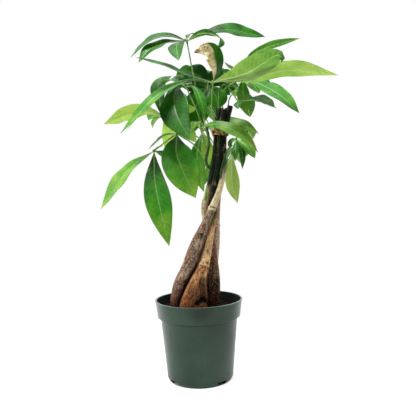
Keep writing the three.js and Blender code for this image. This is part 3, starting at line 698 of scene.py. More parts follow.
def stem_shell(stem, seed):
    """The stem's rings with its ridges, lumps and leaf rings, then the cut end's rings."""
    line = np.array(stem["line"]) * MM
    shares = np.linspace(0, 1, STEM_RINGS)
    centre, tangent, run = run_of(line[:, :3], shares)
    girth = girth_of(line, shares)
    across = across_from(tangent, np.array([1.0, 0, 0]))
    forwards = np.cross(tangent, across)
    turn = turns(STEM_SIDES)
    spokes = spokes_from(across, forwards, turn)
    radius = np.empty((STEM_RINGS, STEM_SIDES))
    ring_mark = np.zeros((STEM_RINGS, STEM_SIDES))
    ring_height, tall = stem["ring"]
    for i in range(STEM_RINGS):
        from_ring = centre[i, 2] - ring_height * MM
        swelling = tall * MM * math.exp(-(from_ring / RING_SPREAD) ** 2)
        scar = min(tall, 1) * math.exp(-(from_ring / SCAR_SPREAD) ** 2)
        for j in range(STEM_SIDES):
            spoke = Vector((math.cos(turn[j]), math.sin(turn[j]), 0))
            groove = noise.noise(spoke * 2.6 + Vector((seed, 0, run[i] / RIDGE_LENGTH)))
            fine = noise.noise(spoke * 6 + Vector((0, seed, run[i] / FINE_RIDGE_LENGTH)))
            lump = noise.noise(spoke * 0.9 + Vector((0, 0, seed + run[i] / LUMP_LENGTH)))
            radius[i, j] = girth[i] * (1 + LUMP_SHARE * lump) + RIDGE_HEIGHT * (groove + 0.5 * fine)
            radius[i, j] += swelling * (1 + 0.4 * noise.noise(spoke * 3))
            ring_mark[i, j] = scar * min(max(0.6 + 1.6 * noise.noise(spoke * 7), 0), 1)
    rings = centre[:, None] + spokes * radius[..., None]
    scars_and_shade, moss = np.zeros((2, STEM_RINGS + len(CUT_RINGS), STEM_SIDES))
    for start, end, reach, dark, green, dent in stem["marks"]:
        here = near_mark(rings, start, end, reach)
        radius -= here * dent * MM
        scars_and_shade[:STEM_RINGS] = np.maximum(scars_and_shade[:STEM_RINGS], here * dark)
        moss[:STEM_RINGS] = np.maximum(moss[:STEM_RINGS], here * green)
    rings = centre[:, None] + spokes * radius[..., None]
    scraps = torn_edge(turn, seed) * TEAR_HEIGHT
    end = [centre[-1] + (rings[-1] - centre[-1]) * share + tangent[-1] * scraps[:, None] * share
           for share in CUT_RINGS]
    rings = np.concatenate([rings, end])
    reach = np.concatenate([run, [run[-1]] * len(CUT_RINGS)])
    width = np.concatenate([girth, [girth[-1]] * len(CUT_RINGS)])
    grain = rolled_out(turn, width[:, None], reach + seed)
    ring_mark = np.concatenate([ring_mark, np.zeros((len(CUT_RINGS), STEM_SIDES))])
    foot = np.clip((FOOT_TO - rings[..., 2]) / (FOOT_TO - FOOT_FROM), 0, 1)
    others = [other for other in STEMS.values() if other is not stem]
    crevice = np.clip(1.1 * width - CREVICE_START, CREVICE_LEAST, CREVICE_MOST)
    # Bark close to the other stems is painted nearly black as the shade in the crevices between them.
    scars_and_shade = np.maximum(scars_and_shade, near_others(rings, others, crevice))
    low, high, strength = stem["pale"]
    height = rings[..., 2] / MM
    pale = strength * smooth_step(low, low + 5, height) * smooth_step(high + 8, high, height)
    return rings, {
        "grain": grain, "bark": np.stack([rings[..., 2], ring_mark, foot], -1),
        "wear": np.stack([scars_and_shade, pale, moss], -1),
    }


cut_wood = cut_end()
for number, (name, stem) in enumerate(STEMS.items()):
    rings, carried = stem_shell(stem, number + 0.5)
    bark = stem_bark("corky_" + name + "_bark", stem["tones"], stem["young_from"])
    piece = make_piece("woody_" + name, [(rings, 0, carried)], [bark, cut_wood])
    top_face = len(piece.data.polygons) - 2
    cut_from = (STEM_RINGS - 1) * STEM_SIDES
    for face in list(piece.data.polygons)[cut_from:top_face]:
        face.material_index = 1
    piece.data.polygons[-1].material_index = 1
    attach(piece, "root")
    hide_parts(name)

# Twine tie: five close turns of three-ply raffia twine that hold the stems together near their tops,
# wound by hand, with a knot and two short ends at the left.
TWINE_RADIUS = 1.25 * MM
TIE_TURNS = 5
STEPS_A_TURN = 64
STRAND_STEPS = 60
PLY_DEPTH = 0.28
TIE_RADIUS = 13.1 * MM
TIE_RISE = 11.04 * MM
TIE_FIRST_HEIGHT = 1.2 * MM
TURN_SLACK = 0.5 * MM
TURN_WAVE = 0.45 * MM
KNOT_HEIGHT = 7 * MM
TURN_LENGTH = 2 * math.pi * TIE_RADIUS
TIE_FOOT = Vector((44.8, -0.5, 418)) * MM
TIE_LEAN = math.radians(6)
TWINE_PLIES = 3
TWINE_LAY = 7 * MM
TWINE_SIDES = 18
RAFFIA = "#7e5a0a"
RAFFIA_LIGHT = "#e2b228"
RAFFIA_SHADOW = "#1e1408"


def tube_shell(points, radii, sides, start=0.0, twist=0.0, lobes=0, depth=0.0):
    """Rings along a row of points. With lobes it is a twisted strand that turns by twist a metre."""
    tangent = np.gradient(points, axis=0)
    tangent /= np.linalg.norm(tangent, axis=1, keepdims=True)
    side = across_from(tangent[:1], np.array([0.02, 0.03, 1.0]) if abs(tangent[0, 2]) < 0.8
                       else np.array([1.0, 0.05, 0]))[0]
    across = np.empty_like(tangent)
    for i, direction in enumerate(tangent):
        side = side - direction * (side @ direction)
        side /= np.linalg.norm(side)
        across[i] = side
    forwards = np.cross(tangent, across)
    run = np.concatenate([[0], np.cumsum(np.linalg.norm(np.diff(points, axis=0), axis=1))])
    turn = turns(sides)
    radius = np.asarray(radii)[:, None] * (
        1 - depth + depth * np.abs(np.cos((turn[None] * lobes + (run[:, None] + start) * twist) / 2))
    )
    rings = points[:, None] + radius[..., None] * spokes_from(across, forwards, turn)
    return rings, rolled_out(turn, radius, run + start)


def raffia():
    """Raffia twine: dry, straw-gold fibre with dark gaps between its plies and a slight sheen, cloudy
    patches of stains and painted shade, and painted shadow of a leaf over its upper turns.
    """
    material, place = new_material("twisted_raffia_twine")
    grain = mesh_field(material, "grain")
    long_grain = add("Mapping", {"Vector": grain, "Scale": (1.0, 1.0, 0.2)})
    fibre = cloudy(long_grain, 0.7 * MM, 3.0)
    age = cloudy(place, 5 * MM, 3.0)
    straw = blend(fibre, 0.4, 0.65, RAFFIA, RAFFIA_LIGHT)
    # Cloudy patches of stains and painted shade.
    shade_and_stain = ranged(age, 0.44, 0.56, 0, 0.95)
    wound = parts(grain)["Z"]
    # Painted shadow, as a leaf above casts it, darkens the turns wound after the first two.
    leaf_shaded_turns = ranged(wound, 1.6 * TURN_LENGTH, 2.4 * TURN_LENGTH, 0, 0.6)
    darkest = calc("MAXIMUM", shade_and_stain, leaf_shaded_turns)
    shaded_straw = mix(darkest, straw, RAFFIA_SHADOW)
    bump = bumpy(fibre, 0.7, 0.3 * MM)
    return finished(material, surface(shaded_straw, 0.75, bump, {
        "IOR": 1.5, "Sheen Weight": 0.2, "Sheen Roughness": 0.5,
    }))


def twine_strand(points):
    """One length of twisted twine along the points, narrowed at its two ends."""
    points = np.array(points)
    radii = np.full(len(points), TWINE_RADIUS)
    radii[[0, -1]] *= 0.5
    rings, grain = tube_shell(
        points, radii, TWINE_SIDES, twist=2 * math.pi * TWINE_PLIES / TWINE_LAY,
        lobes=TWINE_PLIES, depth=PLY_DEPTH,
    )
    return rings, 0, {"grain": grain}


def tie_strands():
    """The wound turns, and the knot's loop and ends."""
    steps = TIE_TURNS * STEPS_A_TURN
    lean = Matrix.Translation(TIE_FOOT) @ Matrix.Rotation(TIE_LEAN, 4, "Y")
    wound = []
    for i in range(steps + 1):
        turn = i / STEPS_A_TURN * 2 * math.pi + math.pi * 0.9
        rise = (i / steps) * TIE_RISE + TIE_FIRST_HEIGHT
        slack = noise.noise(Vector((math.cos(turn), math.sin(turn), i / STEPS_A_TURN)) * 1.4) * TURN_SLACK
        wave = math.sin(turn * 2 + i / 40) * TURN_WAVE
        radius = TIE_RADIUS + slack
        wound.append(lean @ Vector((math.cos(turn) * radius, math.sin(turn) * radius, rise + wave)))
    knot_at = Vector((-TIE_RADIUS * 0.95, -TIE_RADIUS * 0.45, KNOT_HEIGHT))
    knot = [
        (0, 3, -3), (-1.8, 0.6, -1.6), (-2.4, -1.6, 0.6), (-0.6, -2.8, 2), (1.4, -1.4, 1.2),
        (1, 1, -0.4), (-1.2, 1.4, 0.8), (-2.6, -0.4, 2.4), (-3.2, -1.4, 4.4),
    ]
    tail = [(0.2, 1.2, 1.4), (-1.6, -0.4, 0.2), (-2.6, -1.6, -2.4), (-2.4, -2, -5.4)]
    return [twine_strand(wound)] + [
        twine_strand([
            lean @ (knot_at + Vector(curve_point(np.array(route, float), share)) * MM)
            for share in np.linspace(0, 1, STRAND_STEPS)
        ]) for route in (knot, tail)
    ]


tie = make_piece("twine_tie", tie_strands(), [raffia()])
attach(tie, "root")
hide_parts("tie")

# Green shoots: two soft side shoots out of the plait that carry most of the leaf stalks. Each is smooth
# and fleshy, with a swollen joint where a leaf once grew.
SHOOT_SIDES = 20
SHOOT_RINGS = 90
SHOOT_GREEN = "#3c6624"
SHOOT_DARK = "#0f180b"
SHOOT_JOINTS = (0.3, 0.62, 0.86)
JOINT_SWELLING = 0.5 * MM
JOINT_SHARE = 0.02
SHOOTS = {
    "shoot_left": [
        (29, -1, 356, 2.6), (18, -1, 374, 3), (22, -1, 393, 2.8), (24, -1, 414, 2.6), (20, -1, 438, 2.4),
    ],
    "shoot_right": [
        (43, -5, 340, 2.2), (43, -13, 350, 2.1), (46, -15, 363, 2), (53, -13, 384, 1.9),
        (64, -12, 407, 1.9),
    ],
}


def green_skin(name, fresh, old):
    """Living green skin: smooth, slightly waxy, streaked along its length and darker with age."""
    material, place = new_material(name)
    grain = mesh_field(material, "grain")
    youth = parts(mesh_field(material, "tint"))["Y"]
    long_grain = add("Mapping", {"Vector": grain, "Scale": (1.0, 1.0, 0.1)})
    streak = cloudy(long_grain, 1.1 * MM)
    patch = cloudy(place, 14 * MM, 3.0)
    both = calc("MULTIPLY", streak, patch)
    dark = ranged(both, 0.2, 0.33)
    age = calc("SUBTRACT", dark, youth, use_clamp=True)
    skin = mix(age, fresh, old)
    bump = bumpy(streak, 0.3, 0.3 * MM)
    return finished(material, surface(skin, 0.42, bump, {"IOR": 1.45}))


shoot_skin = green_skin("waxy_green_shoot_skin", SHOOT_GREEN, SHOOT_DARK)
for name, line in SHOOTS.items():
    line = np.array(line) * MM
    shares = np.linspace(0, 1, SHOOT_RINGS)
    route, _, _ = run_of(line[:, :3], shares)
    radii = girth_of(line, shares)
    for joint in SHOOT_JOINTS:
        radii += JOINT_SWELLING * np.exp(-((shares - joint) / JOINT_SHARE) ** 2)
    rings, grain = tube_shell(route, radii, SHOOT_SIDES)
    piece = make_piece("green_" + name, [(rings, 0, {"grain": grain})], [shoot_skin])
    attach(piece, "root")
    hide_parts(name)

# Leaves: eighteen palmate leaves, each a long round stalk with a knobby hub and up to seven leaflets. A
# leaflet is a thin, glossy blade, dark above and pale and matt below, quilted between its side veins.
BLADE_THICKNESS = 0.5 * MM
BLADE_FOLD = 0.2
BLADE_ARCH = 0.05
BLADE_ROWS = 64
BLADE_COLUMNS = (0, 0.1, 0.22, 0.36, 0.5, 0.64, 0.78, 0.9, 1)
VEIN_SPACING = 9 * MM
QUILT_HEIGHT = 0.35 * MM
RIB_RADIUS = 1.05 * MM
RIB_TIP_RADIUS = 0.2 * MM
VEIN_SLANT = 0.75
VEIN_CURVE = 55 * MM
QUILT_WIDTH = 40
WAVE_HEIGHT = 0.05
RIPPLE_HEIGHT = 0.022
CRUMPLE_HEIGHT = 0.9 * MM
STALK_RADIUS = 1.35 * MM
STALK_SIDES = 14
STALK_RINGS = 60
NECK_GIRTHS = (1.35, 1.6)
KNOB_GIRTHS = (1.7, 1.75, 1.4, 0.5)
KNOB_RINGS = (0.5, 1.2, 2, 2.7)
LEAF_TONES = ("#0d350b", "#357f1a", "#9abc4c")
UNDER_TONES = ("#2c6420", "#62a03c", "#c4dc86")
GLOW_TONES = ("#3a9012", "#7cc02c", "#d6ea82")
LEAF_GROWN = 0.42
SPOT_SPACING = 9 * MM
LEAF_RIB = "#e0eeb2"
LEAF_BLEMISH = "#2c3416"
TIP_YOUNGER = 0.16
DRY_TAN = "#f6e8bc"
DRY_BROWN = "#4a3420"
STALK_FRESH = "#86b048"
STALK_OLD = "#2f5a22"


def blade(wide, up, *rib, **more):
    """A leaflet's width, the way its upper face looks, and its midrib's points beyond the hub, in mm."""
    return {"wide": wide, "up": up, "rib": rib, **more}


def leaf(stalk, hub, young, *leaflets, stalk_young=0):
    """A leaf: its stalk's points from the foot on, its hub, its age and its leaflets."""
    return {"stalk": stalk, "hub": hub, "young": young, "leaflets": leaflets, "stalk_young": stalk_young}


# Lengths in mm. Ages run from 1, young and pale, to 0, grown and dark green. A blade may have its own age,
# another one at its tip, a tip that looks another way, a deeper fold or one dry half.
LEAVES = {
    "leaf_top": leaf(
        [(20.5, -0.5, 433), (17, 2, 448), (6, 6, 494)], (-10, 0, 587), 0.12,
        blade(34, (0, -0.9, 0.5), (-41, -15, 591), (-70, -32, 576), (-101, -50, 543), tip_up=(0, 0.1, 1)),
        blade(32, (-0.3, -0.8, 0.6), (-46, -28, 574), (-70, -50, 554), (-86, -62, 530)),
        blade(30, (-0.4, -0.6, 0.7), (-24, -46, 564), (-20, -80, 526)),
        blade(24, (0, 0.3, 1), (14, -10, 595), (37, -22, 588), (50, -32, 573), (42, -36, 558),
              tip_up=(1, -0.6, 0.2)),
        blade(34, (0, -0.5, 0.85), (37, 10, 606), (71, 20, 612), (100, 26, 608), (132, 32, 603),
              tip_up=(0, -1, 0.3)),
        blade(10, (0, 0, 1), (-7, 12, 602), (4, 26, 610)),
    ),
    "leaf_big_right": leaf(
        [(37, -5, 440), (32, -14, 446), (30, -38, 462)], (33, -55, 498), 0.55,
        blade(52, (-0.25, 0.55, 0.8), (83, -85, 501), (110, -112, 509), (126, -128, 514), (132, -134, 509),
              (131, -136, 500), young=1, tip_young=0.5),
        blade(42, (0, 0.35, 1), (92, -72, 498), (153, -85, 505), (226, -90, 494), young=0.8),
        blade(29, (-0.3, -1, 0.1), (39, -62, 515), (38, -66, 530), (32, -70, 541), (20, -75, 543),
              (4, -78, 539), dry=True, young=0.1),
        blade(18, (0.3, -0.6, 0.8), (-3, -75, 503), (-40, -100, 512), (-81, -120, 519), young=0.05),
        blade(26, (-0.5, -0.8, 0.5), (-4, -72, 496), (-31, -95, 481), (-62, -118, 453), (-104, -134, 404),
              young=0.4),
        stalk_young=1,
    ),
    "leaf_big_front": leaf(
        [(22.5, -1, 424), (16, -12, 432), (4, -38, 459)], (-11, -70, 489), 0.1,
        blade(46, (-0.4, -1, 0.2), (-24, -79, 483), (-28, -94, 464), (-22, -113, 432), (-4, -128, 395),
              fold=0.3),
        blade(18, (0.5, -0.8, 0.3), (4, -84, 481), (14, -96, 455), (19, -98, 425), young=0.35),
        blade(24, (-0.55, -0.3, 0.7), (-43, -80, 478), (-68, -93, 454), (-100, -104, 415), young=0.75),
        blade(28, (-0.3, -0.3, 0.9), (-32, -50, 506), (-53, -25, 502)),
    ),
    "leaf_pale_left": leaf(
        [(23.5, -1, 408), (12, -8, 413), (-24, -22, 431)], (-54, -30, 449), 0.4,
        blade(36, (0, 0.55, 0.8), (-77, -42, 456), (-109, -58, 447), (-141, -75, 430), young=1),
        blade(7, (0.5, -0.6, 0.5), (-62, -36, 445), (-68, -42, 437), (-68, -46, 427), young=0.7),
        blade(28, (-0.3, -0.8, 0.3), (-59, -15, 486), (-60, 0, 513), (-39, 18, 532), young=0.1),
        blade(38, (0.3, -0.6, 0.6), (-28, -8, 465), (4, 14, 472), young=0.7),
        blade(26, (-0.2, -1, 0.1), (-45, -34, 436), (-41, -40, 416), (-47, -44, 391), young=0.95),
    ),
    "leaf_broad_low": leaf(
        [(18.5, -1, 382), (12, -12, 386), (-2, -42, 400)], (-27, -62, 414), 0.6,
        # Its darker base is painted shade from the leaflet above it; towards the tip it turns paler.
        blade(54, (0, -1, 0.2), (-26, -95, 376), (-12, -108, 339), (2, -112, 309), young=0.08,
              tip_young=0.75),
        blade(14, (-0.5, -0.4, 0.75), (-47, -58, 413), (-59, -62, 403), (-73, -66, 390), young=0.1),
        blade(22, (0.3, -0.9, 0.3), (-10, -74, 412), (4, -80, 397)),
    ),
    "leaf_lowest": leaf(
        [(20, -1, 436), (6, -14, 443), (-9, -30, 432), (-29, -54, 415)], (-63, -75, 386), 0.35,
        blade(34, (-0.35, -0.6, 0.65), (-101, -95, 355), (-142, -105, 296), young=0.55),
        # Its darker upper part is painted shade from the leaves above it; towards the tip it turns paler.
        blade(38, (0.05, -1, 0.15), (-59, -108, 335), (-49, -122, 286), (-38, -126, 239), young=0.03,
              tip_young=0.65),
        blade(8, (-0.6, -0.5, 0.4), (-57, -70, 392), (-50, -64, 395), young=0.9),
        blade(34, (0.2, -0.8, 0.5), (-39, -48, 374), (-13, -22, 342)),
    ),
    "leaf_dark_right": leaf(
        [(47, 9, 455), (44, 14, 468), (44, 11, 485), (46, 9, 503), (54, 9, 511)], (78, 8, 481), 0.1,
        blade(26, (0, -0.5, 1), (110, -4, 479), (143, -10, 463)),
        blade(16, (-0.4, -0.7, 0.6), (77, -4, 474), (76, -10, 463)),
        blade(34, (0, 0, 1), (116, 30, 490), (150, 54, 480)),
    ),
    "leaf_upper_right": leaf(
        [(55, 6.5, 450), (50, 22, 483), (54, 24, 505)], (88, 14, 525), 0.38,
        blade(38, (0.2, -0.8, 0.6), (118, -15, 502), (147, -42, 474), (171, -60, 443)),
        blade(25, (0, -1, 0.1), (90, 42, 502), (98, 60, 470), young=0.5),
        blade(20, (0, 0.45, 0.9), (101, 10, 559), (134, 16, 578), (195, 30, 598)),
        blade(36, (0, 0, 1), (98, 62, 556), (108, 108, 562), young=0.3),
        blade(18, (0, 0, 1), (70, 36, 547), (57, 52, 566), young=0.1),
    ),
    "leaf_across": leaf(
        [(22.5, -1, 397), (16, -9, 402), (14, -16, 414)], (10, -22, 430), 0.62,
        blade(28, (0.1, -1, 0.5), (32, -36, 433), (59, -50, 422), (84, -58, 404), (103, -60, 381),
              tip_up=(0.2, -0.6, 0.8)),
        blade(16, (-0.3, -0.8, 0.5), (5, -42, 436), (-3, -50, 422)),
    ),
    "leaf_right_cluster": leaf(
        [(62, -12, 403), (67, -12, 408)], (71, -12, 411), 0.5,
        blade(24, (0.2, -0.7, 0.6), (87, -24, 397), (101, -32, 375)),
        blade(13, (0.5, -0.8, 0.1), (79, -28, 390), (79, -36, 357), young=0.2),
        blade(13, (-0.4, -0.8, 0.1), (69, -30, 390), (67, -36, 370), young=0.3),
        blade(14, (-0.2, -0.8, 0.5), (64, 0, 408), (60, 6, 398)),
        blade(30, (0, -0.3, 1), (94, 34, 434), (110, 76, 424)),
    ),
    "leaf_pale_right": leaf(
        [(45, -14, 358), (55, -10, 368), (60, 3, 380)], (66, 24, 391), 0.4,
        blade(26, (0.2, 0.9, 0.3), (65, 30, 365), (66, 32, 334), (74, 32, 301), young=1),
        blade(30, (0.3, 0, 1), (84, 58, 400), (92, 92, 390)),
        blade(28, (0, 0, 1), (58, 62, 403), (52, 104, 384)),
    ),
    "leaf_behind_trunk": leaf(
        [(23.5, -0.5, 416), (17, 8, 421), (15, 14, 426)], (14, 20, 432), 0.4,
        blade(22, (0, -1, 0.1), (21, 27, 404), (22, 28, 369), young=0.9),
        blade(28, (-0.2, -0.9, 0.2), (2, 36, 394), (5, 42, 356), (13, 40, 323)),
        blade(28, (0.2, -0.8, 0.5), (49, 24, 446), (85, 16, 440), (113, 8, 423), young=0.6),
        blade(34, (0, -1, 0), (7, 26, 455), (12, 30, 482), young=0.15),
    ),
    "leaf_inner": leaf(
        [(41, 2, 448), (34, 8, 462), (27, 18, 484)], (25, 25, 512), 0.1,
        blade(40, (0, -1, 0.3), (10, 22, 531), (-17, 18, 542), young=0.05),
        blade(40, (0.1, -1, 0.1), (39, 18, 493), (42, 17, 469), young=0.3),
        blade(42, (-0.1, -1, 0.1), (8, 20, 488), (-2, 16, 462)),
        blade(34, (0, 0, 1), (20, 80, 530), (26, 128, 520)),
        blade(30, (0, 0, 1), (58, 44, 526), (84, 58, 518)),
        blade(40, (-0.1, -1, 0.2), (-1, 30, 522), (-28, 28, 518), young=0.05),
        blade(34, (0.2, -1, 0.2), (37, 32, 525), (52, 35, 545), young=0.05),
    ),
    "leaf_back_left": leaf(
        [(39.5, 6.5, 406), (34, 22, 420), (20, 55, 462)], (2, 90, 500), 0.3,
        blade(38, (0, 0, 1), (-32, 102, 520), (-64, 114, 510)),
        blade(38, (0, 0, 1), (-22, 126, 520), (-44, 160, 506)),
        blade(38, (0, 0, 1), (6, 138, 516), (8, 184, 496)),
        blade(34, (0, 0.2, 1), (26, 124, 498), (40, 154, 474)),
        blade(34, (0, 0.5, 0.7), (-6, 112, 474), (-14, 126, 440)),
    ),
    "leaf_far_left": leaf(
        [(38, 7, 392), (30, 20, 414), (0, 44, 454)], (-50, 62, 462), 0.35,
        blade(34, (0, 0, 1), (-86, 60, 478), (-112, 54, 467)),
        blade(34, (0, 0, 1), (-76, 92, 479), (-96, 120, 474)),
        blade(34, (0, 0, 1), (-52, 102, 480), (-56, 140, 470)),
        blade(32, (0, 0.3, 1), (-26, 92, 466), (-16, 118, 450)),
    ),
    "leaf_back_right": leaf(
        [(53, 6, 440), (60, 24, 456), (66, 60, 500)], (88, 88, 525), 0.3,
        blade(38, (0, 0, 1), (124, 100, 541), (158, 114, 525)),
        blade(38, (0, 0, 1), (114, 124, 545), (134, 160, 533)),
        blade(38, (0, 0, 1), (86, 136, 547), (84, 182, 531)),
        blade(34, (0, -1, 0.2), (69, 96, 531), (47, 100, 520), young=0.1),
        blade(34, (0, 0.4, 0.8), (102, 116, 505), (112, 140, 479)),
    ),
    "leaf_back_low": leaf(
        [(35, 8.5, 370), (34, 24, 378), (32, 52, 390)], (32, 84, 400), 0.45,
        blade(36, (-0.2, 0, 1), (-1, 104, 406), (-30, 124, 380)),
        blade(36, (0, 0.4, 0.8), (18, 112, 378), (8, 134, 336)),
        blade(36, (0, 0.3, 0.9), (51, 116, 384), (64, 138, 340)),
        blade(34, (0.2, 0, 1), (64, 104, 408), (92, 124, 380)),
        blade(34, (0, 0, 1), (31, 130, 420), (36, 178, 402)),
    ),
    "leaf_back_top": leaf(
        [(44, 7, 438), (42, 24, 466), (36, 52, 522)], (26, 68, 544), 0.2,
        blade(36, (0, 0, 1), (-8, 86, 564), (-38, 108, 552)),
        blade(36, (0, 0, 1), (10, 108, 568), (-4, 150, 560)),
        blade(36, (0, 0, 1), (40, 108, 566), (56, 148, 556)),
        blade(32, (0, 0, 1), (58, 84, 555), (84, 100, 550)),
    ),
}


def even_shares(points, count):
    """Shares of a curve's knots that stand at even lengths along it."""
    fine = np.linspace(0, 1, 201)
    _, _, run = run_of(points, fine)
    return np.interp(np.linspace(0, run[-1], count), run, fine)


def blade_shell(hub, leaflet, young, seed):
    """One leaflet's closed shell: each ring runs over the upper face and back under the lower one."""
    line = np.array([hub, *leaflet["rib"]], float) * MM
    centre, tangent, run = run_of(line, even_shares(line, BLADE_ROWS))
    along = (run / run[-1])[:, None]
    up = np.array(leaflet["up"], float)
    tip_up = np.array(leaflet.get("tip_up", leaflet["up"]), float)
    normal = across_from(tangent, up * (1 - along) + tip_up * along)
    sideways = np.cross(tangent, normal)
    rib = RIB_RADIUS + (RIB_TIP_RADIUS - RIB_RADIUS) * along
    half = leaflet["wide"] / 2 * MM * np.sin(math.pi * along ** 1.2)
    half = np.maximum(half, rib * 0.9)
    half *= 1 + 0.03 * np.sin(along * 9 + seed * 2)
    rib_edge = np.minimum(rib * 1.3, half * 0.6)
    out = rib_edge + (half - rib_edge) * np.array(BLADE_COLUMNS)[None]
    inner = np.concatenate([rib_edge * 0.5, out], 1)
    across = np.concatenate([-inner[:, ::-1], np.zeros_like(along), inner], 1)
    share = np.abs(across) / half
    sign = np.sign(across)
    phase = (run[:, None] - VEIN_SLANT * np.abs(across) - across ** 2 / VEIN_CURVE) / VEIN_SPACING + 10
    quilt = np.abs(np.sin(math.pi * (phase - 0.5))) ** 0.7 - 0.6
    quilt = quilt * smooth_step(0.04, 0.3, share) * (1 - smooth_step(0.8, 1, share))
    quilt = quilt * smooth_step(0.05, 0.2, along) * (1 - smooth_step(0.85, 1, along))
    wave = np.sin(along * 5 * math.pi + sign + seed * 1.7) * WAVE_HEIGHT * share ** 2
    ripple = np.sin(along * 23 + sign * 2 + seed * 5) * RIPPLE_HEIGHT * share ** 3
    fold = leaflet.get("fold", BLADE_FOLD)
    lift = half * (fold * share - BLADE_ARCH * share ** 2 + wave + ripple)
    dry = np.zeros_like(across)
    if leaflet.get("dry"):
        spread = smooth_step(0.5, 0.85, along) * 1.3 - sign * share
        dry = smooth_step(-0.05, 0.15, spread) * smooth_step(0.02, 0.1, along)
        crumple = np.sin(along * 31 + share * 9) * np.sin(along * 17 - sign * share * 13)
        lift = lift + crumple * CRUMPLE_HEIGHT * dry
    sheet = centre[:, None] + sideways[:, None] * across[..., None] + normal[:, None] * (
        lift + quilt * QUILT_HEIGHT * leaflet["wide"] / QUILT_WIDTH
    )[..., None]
    cord = np.sqrt(np.maximum(1 - (across / (rib * 1.25)) ** 2, 0)) * rib
    body = BLADE_THICKNESS / 2 * (1 - 0.6 * share ** 4)
    upper = sheet + normal[:, None] * (body - 0.25 * cord)[..., None]
    under = sheet - normal[:, None] * (body + cord)[..., None]
    rings = np.concatenate([upper, under[:, ::-1]], 1)
    columns = across.shape[1]
    looks = np.array([0] * (columns - 1) + [1] * (columns + 1))
    both = [np.concatenate([field, field[:, ::-1]], 1) for field in (
        phase, np.abs(across) / rib, share, np.broadcast_to(along, share.shape), dry,
    )]
    veins = np.stack(both[:3], -1)
    base_age = leaflet.get("young", young) - TIP_YOUNGER / 2
    tip_age = leaflet.get("tip_young", base_age + 1.5 * TIP_YOUNGER)
    tint = np.stack([both[3], base_age + (tip_age - base_age) * both[3], both[4]], -1)
    return rings, looks, {"veins": veins, "tint": tint, "grain": rings}


def stalk_shell(leaf, seed):
    """The leaf's stalk, thicker at its foot and where it meets the hub, with the hub's knob on its end."""
    line = np.array([*leaf["stalk"], leaf["hub"]], float) * MM
    centre, tangent, run = run_of(line, even_shares(line, STALK_RINGS))
    share = run / run[-1]
    radii = STALK_RADIUS * (0.82 + 0.55 * np.exp(-share / 0.05) + 0.3 * np.exp(-(1 - share) / 0.04))
    end = centre[-1] + tangent[-1] * np.array(KNOB_RINGS)[:, None] * MM
    route = np.concatenate([centre, end])
    radii[-len(NECK_GIRTHS):] = STALK_RADIUS * np.array(NECK_GIRTHS)
    radii = np.concatenate([radii, STALK_RADIUS * np.array(KNOB_GIRTHS)])
    rings, grain = tube_shell(route, radii, STALK_SIDES, start=seed * 0.1)
    still = np.zeros(rings.shape)
    tint = still + (0, leaf["stalk_young"], 0)
    return rings, 2, {"veins": still, "tint": tint, "grain": grain}


def leaf_face(name, tones, rib_share, rib_width, vein_share, matt, through):
    """A living leaf face: pigment that varies between the veins, a pale midrib and finer side veins, and
    light that comes through the blade as yellow-green. Dry parts turn to papery tan and brown."""
    material, place = new_material(name)
    phase, from_rib, from_middle = parts(mesh_field(material, "veins"))
    along, tint, dry = parts(mesh_field(material, "tint"))
    cloud = cloudy(place, 24 * MM, 3.0)
    mottle = cloudy(place, 3 * MM, 3.0)
    spots = add("TexVoronoi", {"Vector": place, "Scale": 1 / SPOT_SPACING})
    shade = ranged(cloud, 0.3, 0.7, -0.16, 0.16)
    age = calc("ADD", tint, shade)
    early = ranged(age, 0, LEAF_GROWN)
    late = ranged(age, LEAF_GROWN, 1)
    grown = mix(early, tones[0], tones[1])
    pigment = mix(late, grown, tones[2])
    fleck = ranged(mottle, 0.35, 0.65, 0.86, 1.1)
    mottled = add("VectorMath", {0: pigment, 3: fleck}, operation="SCALE")
    away = calc("ABSOLUTE", calc("SUBTRACT", calc("FRACT", phase), 0.5))
    side_vein = ranged(away, 0.1, 0.02, 0, vein_share)
    short = ranged(from_middle, 1, 0.75)
    vein_line = calc("MULTIPLY", side_vein, short)
    veined = mix(vein_line, mottled, LEAF_RIB)
    middle = ranged(from_rib, rib_width * 1.4, rib_width, 0, rib_share)
    ribbed = mix(middle, veined, LEAF_RIB)
    spot = ranged(spots.outputs["Distance"], 0.09, 0.05, 0, 0.8)
    pick = add("SeparateColor", {"Color": spots.outputs["Color"]}).outputs["Green"]
    rare = calc("GREATER_THAN", pick, 0.86)
    blemish = calc("MULTIPLY", spot, rare)
    lived = mix(blemish, ribbed, LEAF_BLEMISH)
    brown = ranged(mottle, 0.52, 0.68)
    dead = ranged(along, 0.7, 0.95, 0, 0.6)
    crisp = calc("ADD", brown, dead, use_clamp=True)
    scorched = mix(crisp, DRY_TAN, DRY_BROWN)
    face = mix(dry, lived, scorched)
    deep_glow = mix(early, GLOW_TONES[0], GLOW_TONES[1])
    glow = mix(late, deep_glow, GLOW_TONES[2])
    thick = calc("MAXIMUM", vein_line, middle)
    dimmed = mix(thick, glow, LEAF_RIB)
    dried = mix(dry, dimmed, DRY_TAN)
    height = calc("SUBTRACT", mottle, vein_line)
    bump = bumpy(height, 0.35, 0.35 * MM)
    rough = ranged(mottle, 0.3, 0.7, matt - 0.05, matt + 0.08)
    skin = surface(face, rough, bump, {"Specular IOR Level": 0.24})
    shine = add("BsdfTranslucent", {"Color": dried, "Normal": bump})
    return finished(material, add("MixShader", {"Fac": through, 1: skin, 2: shine}))


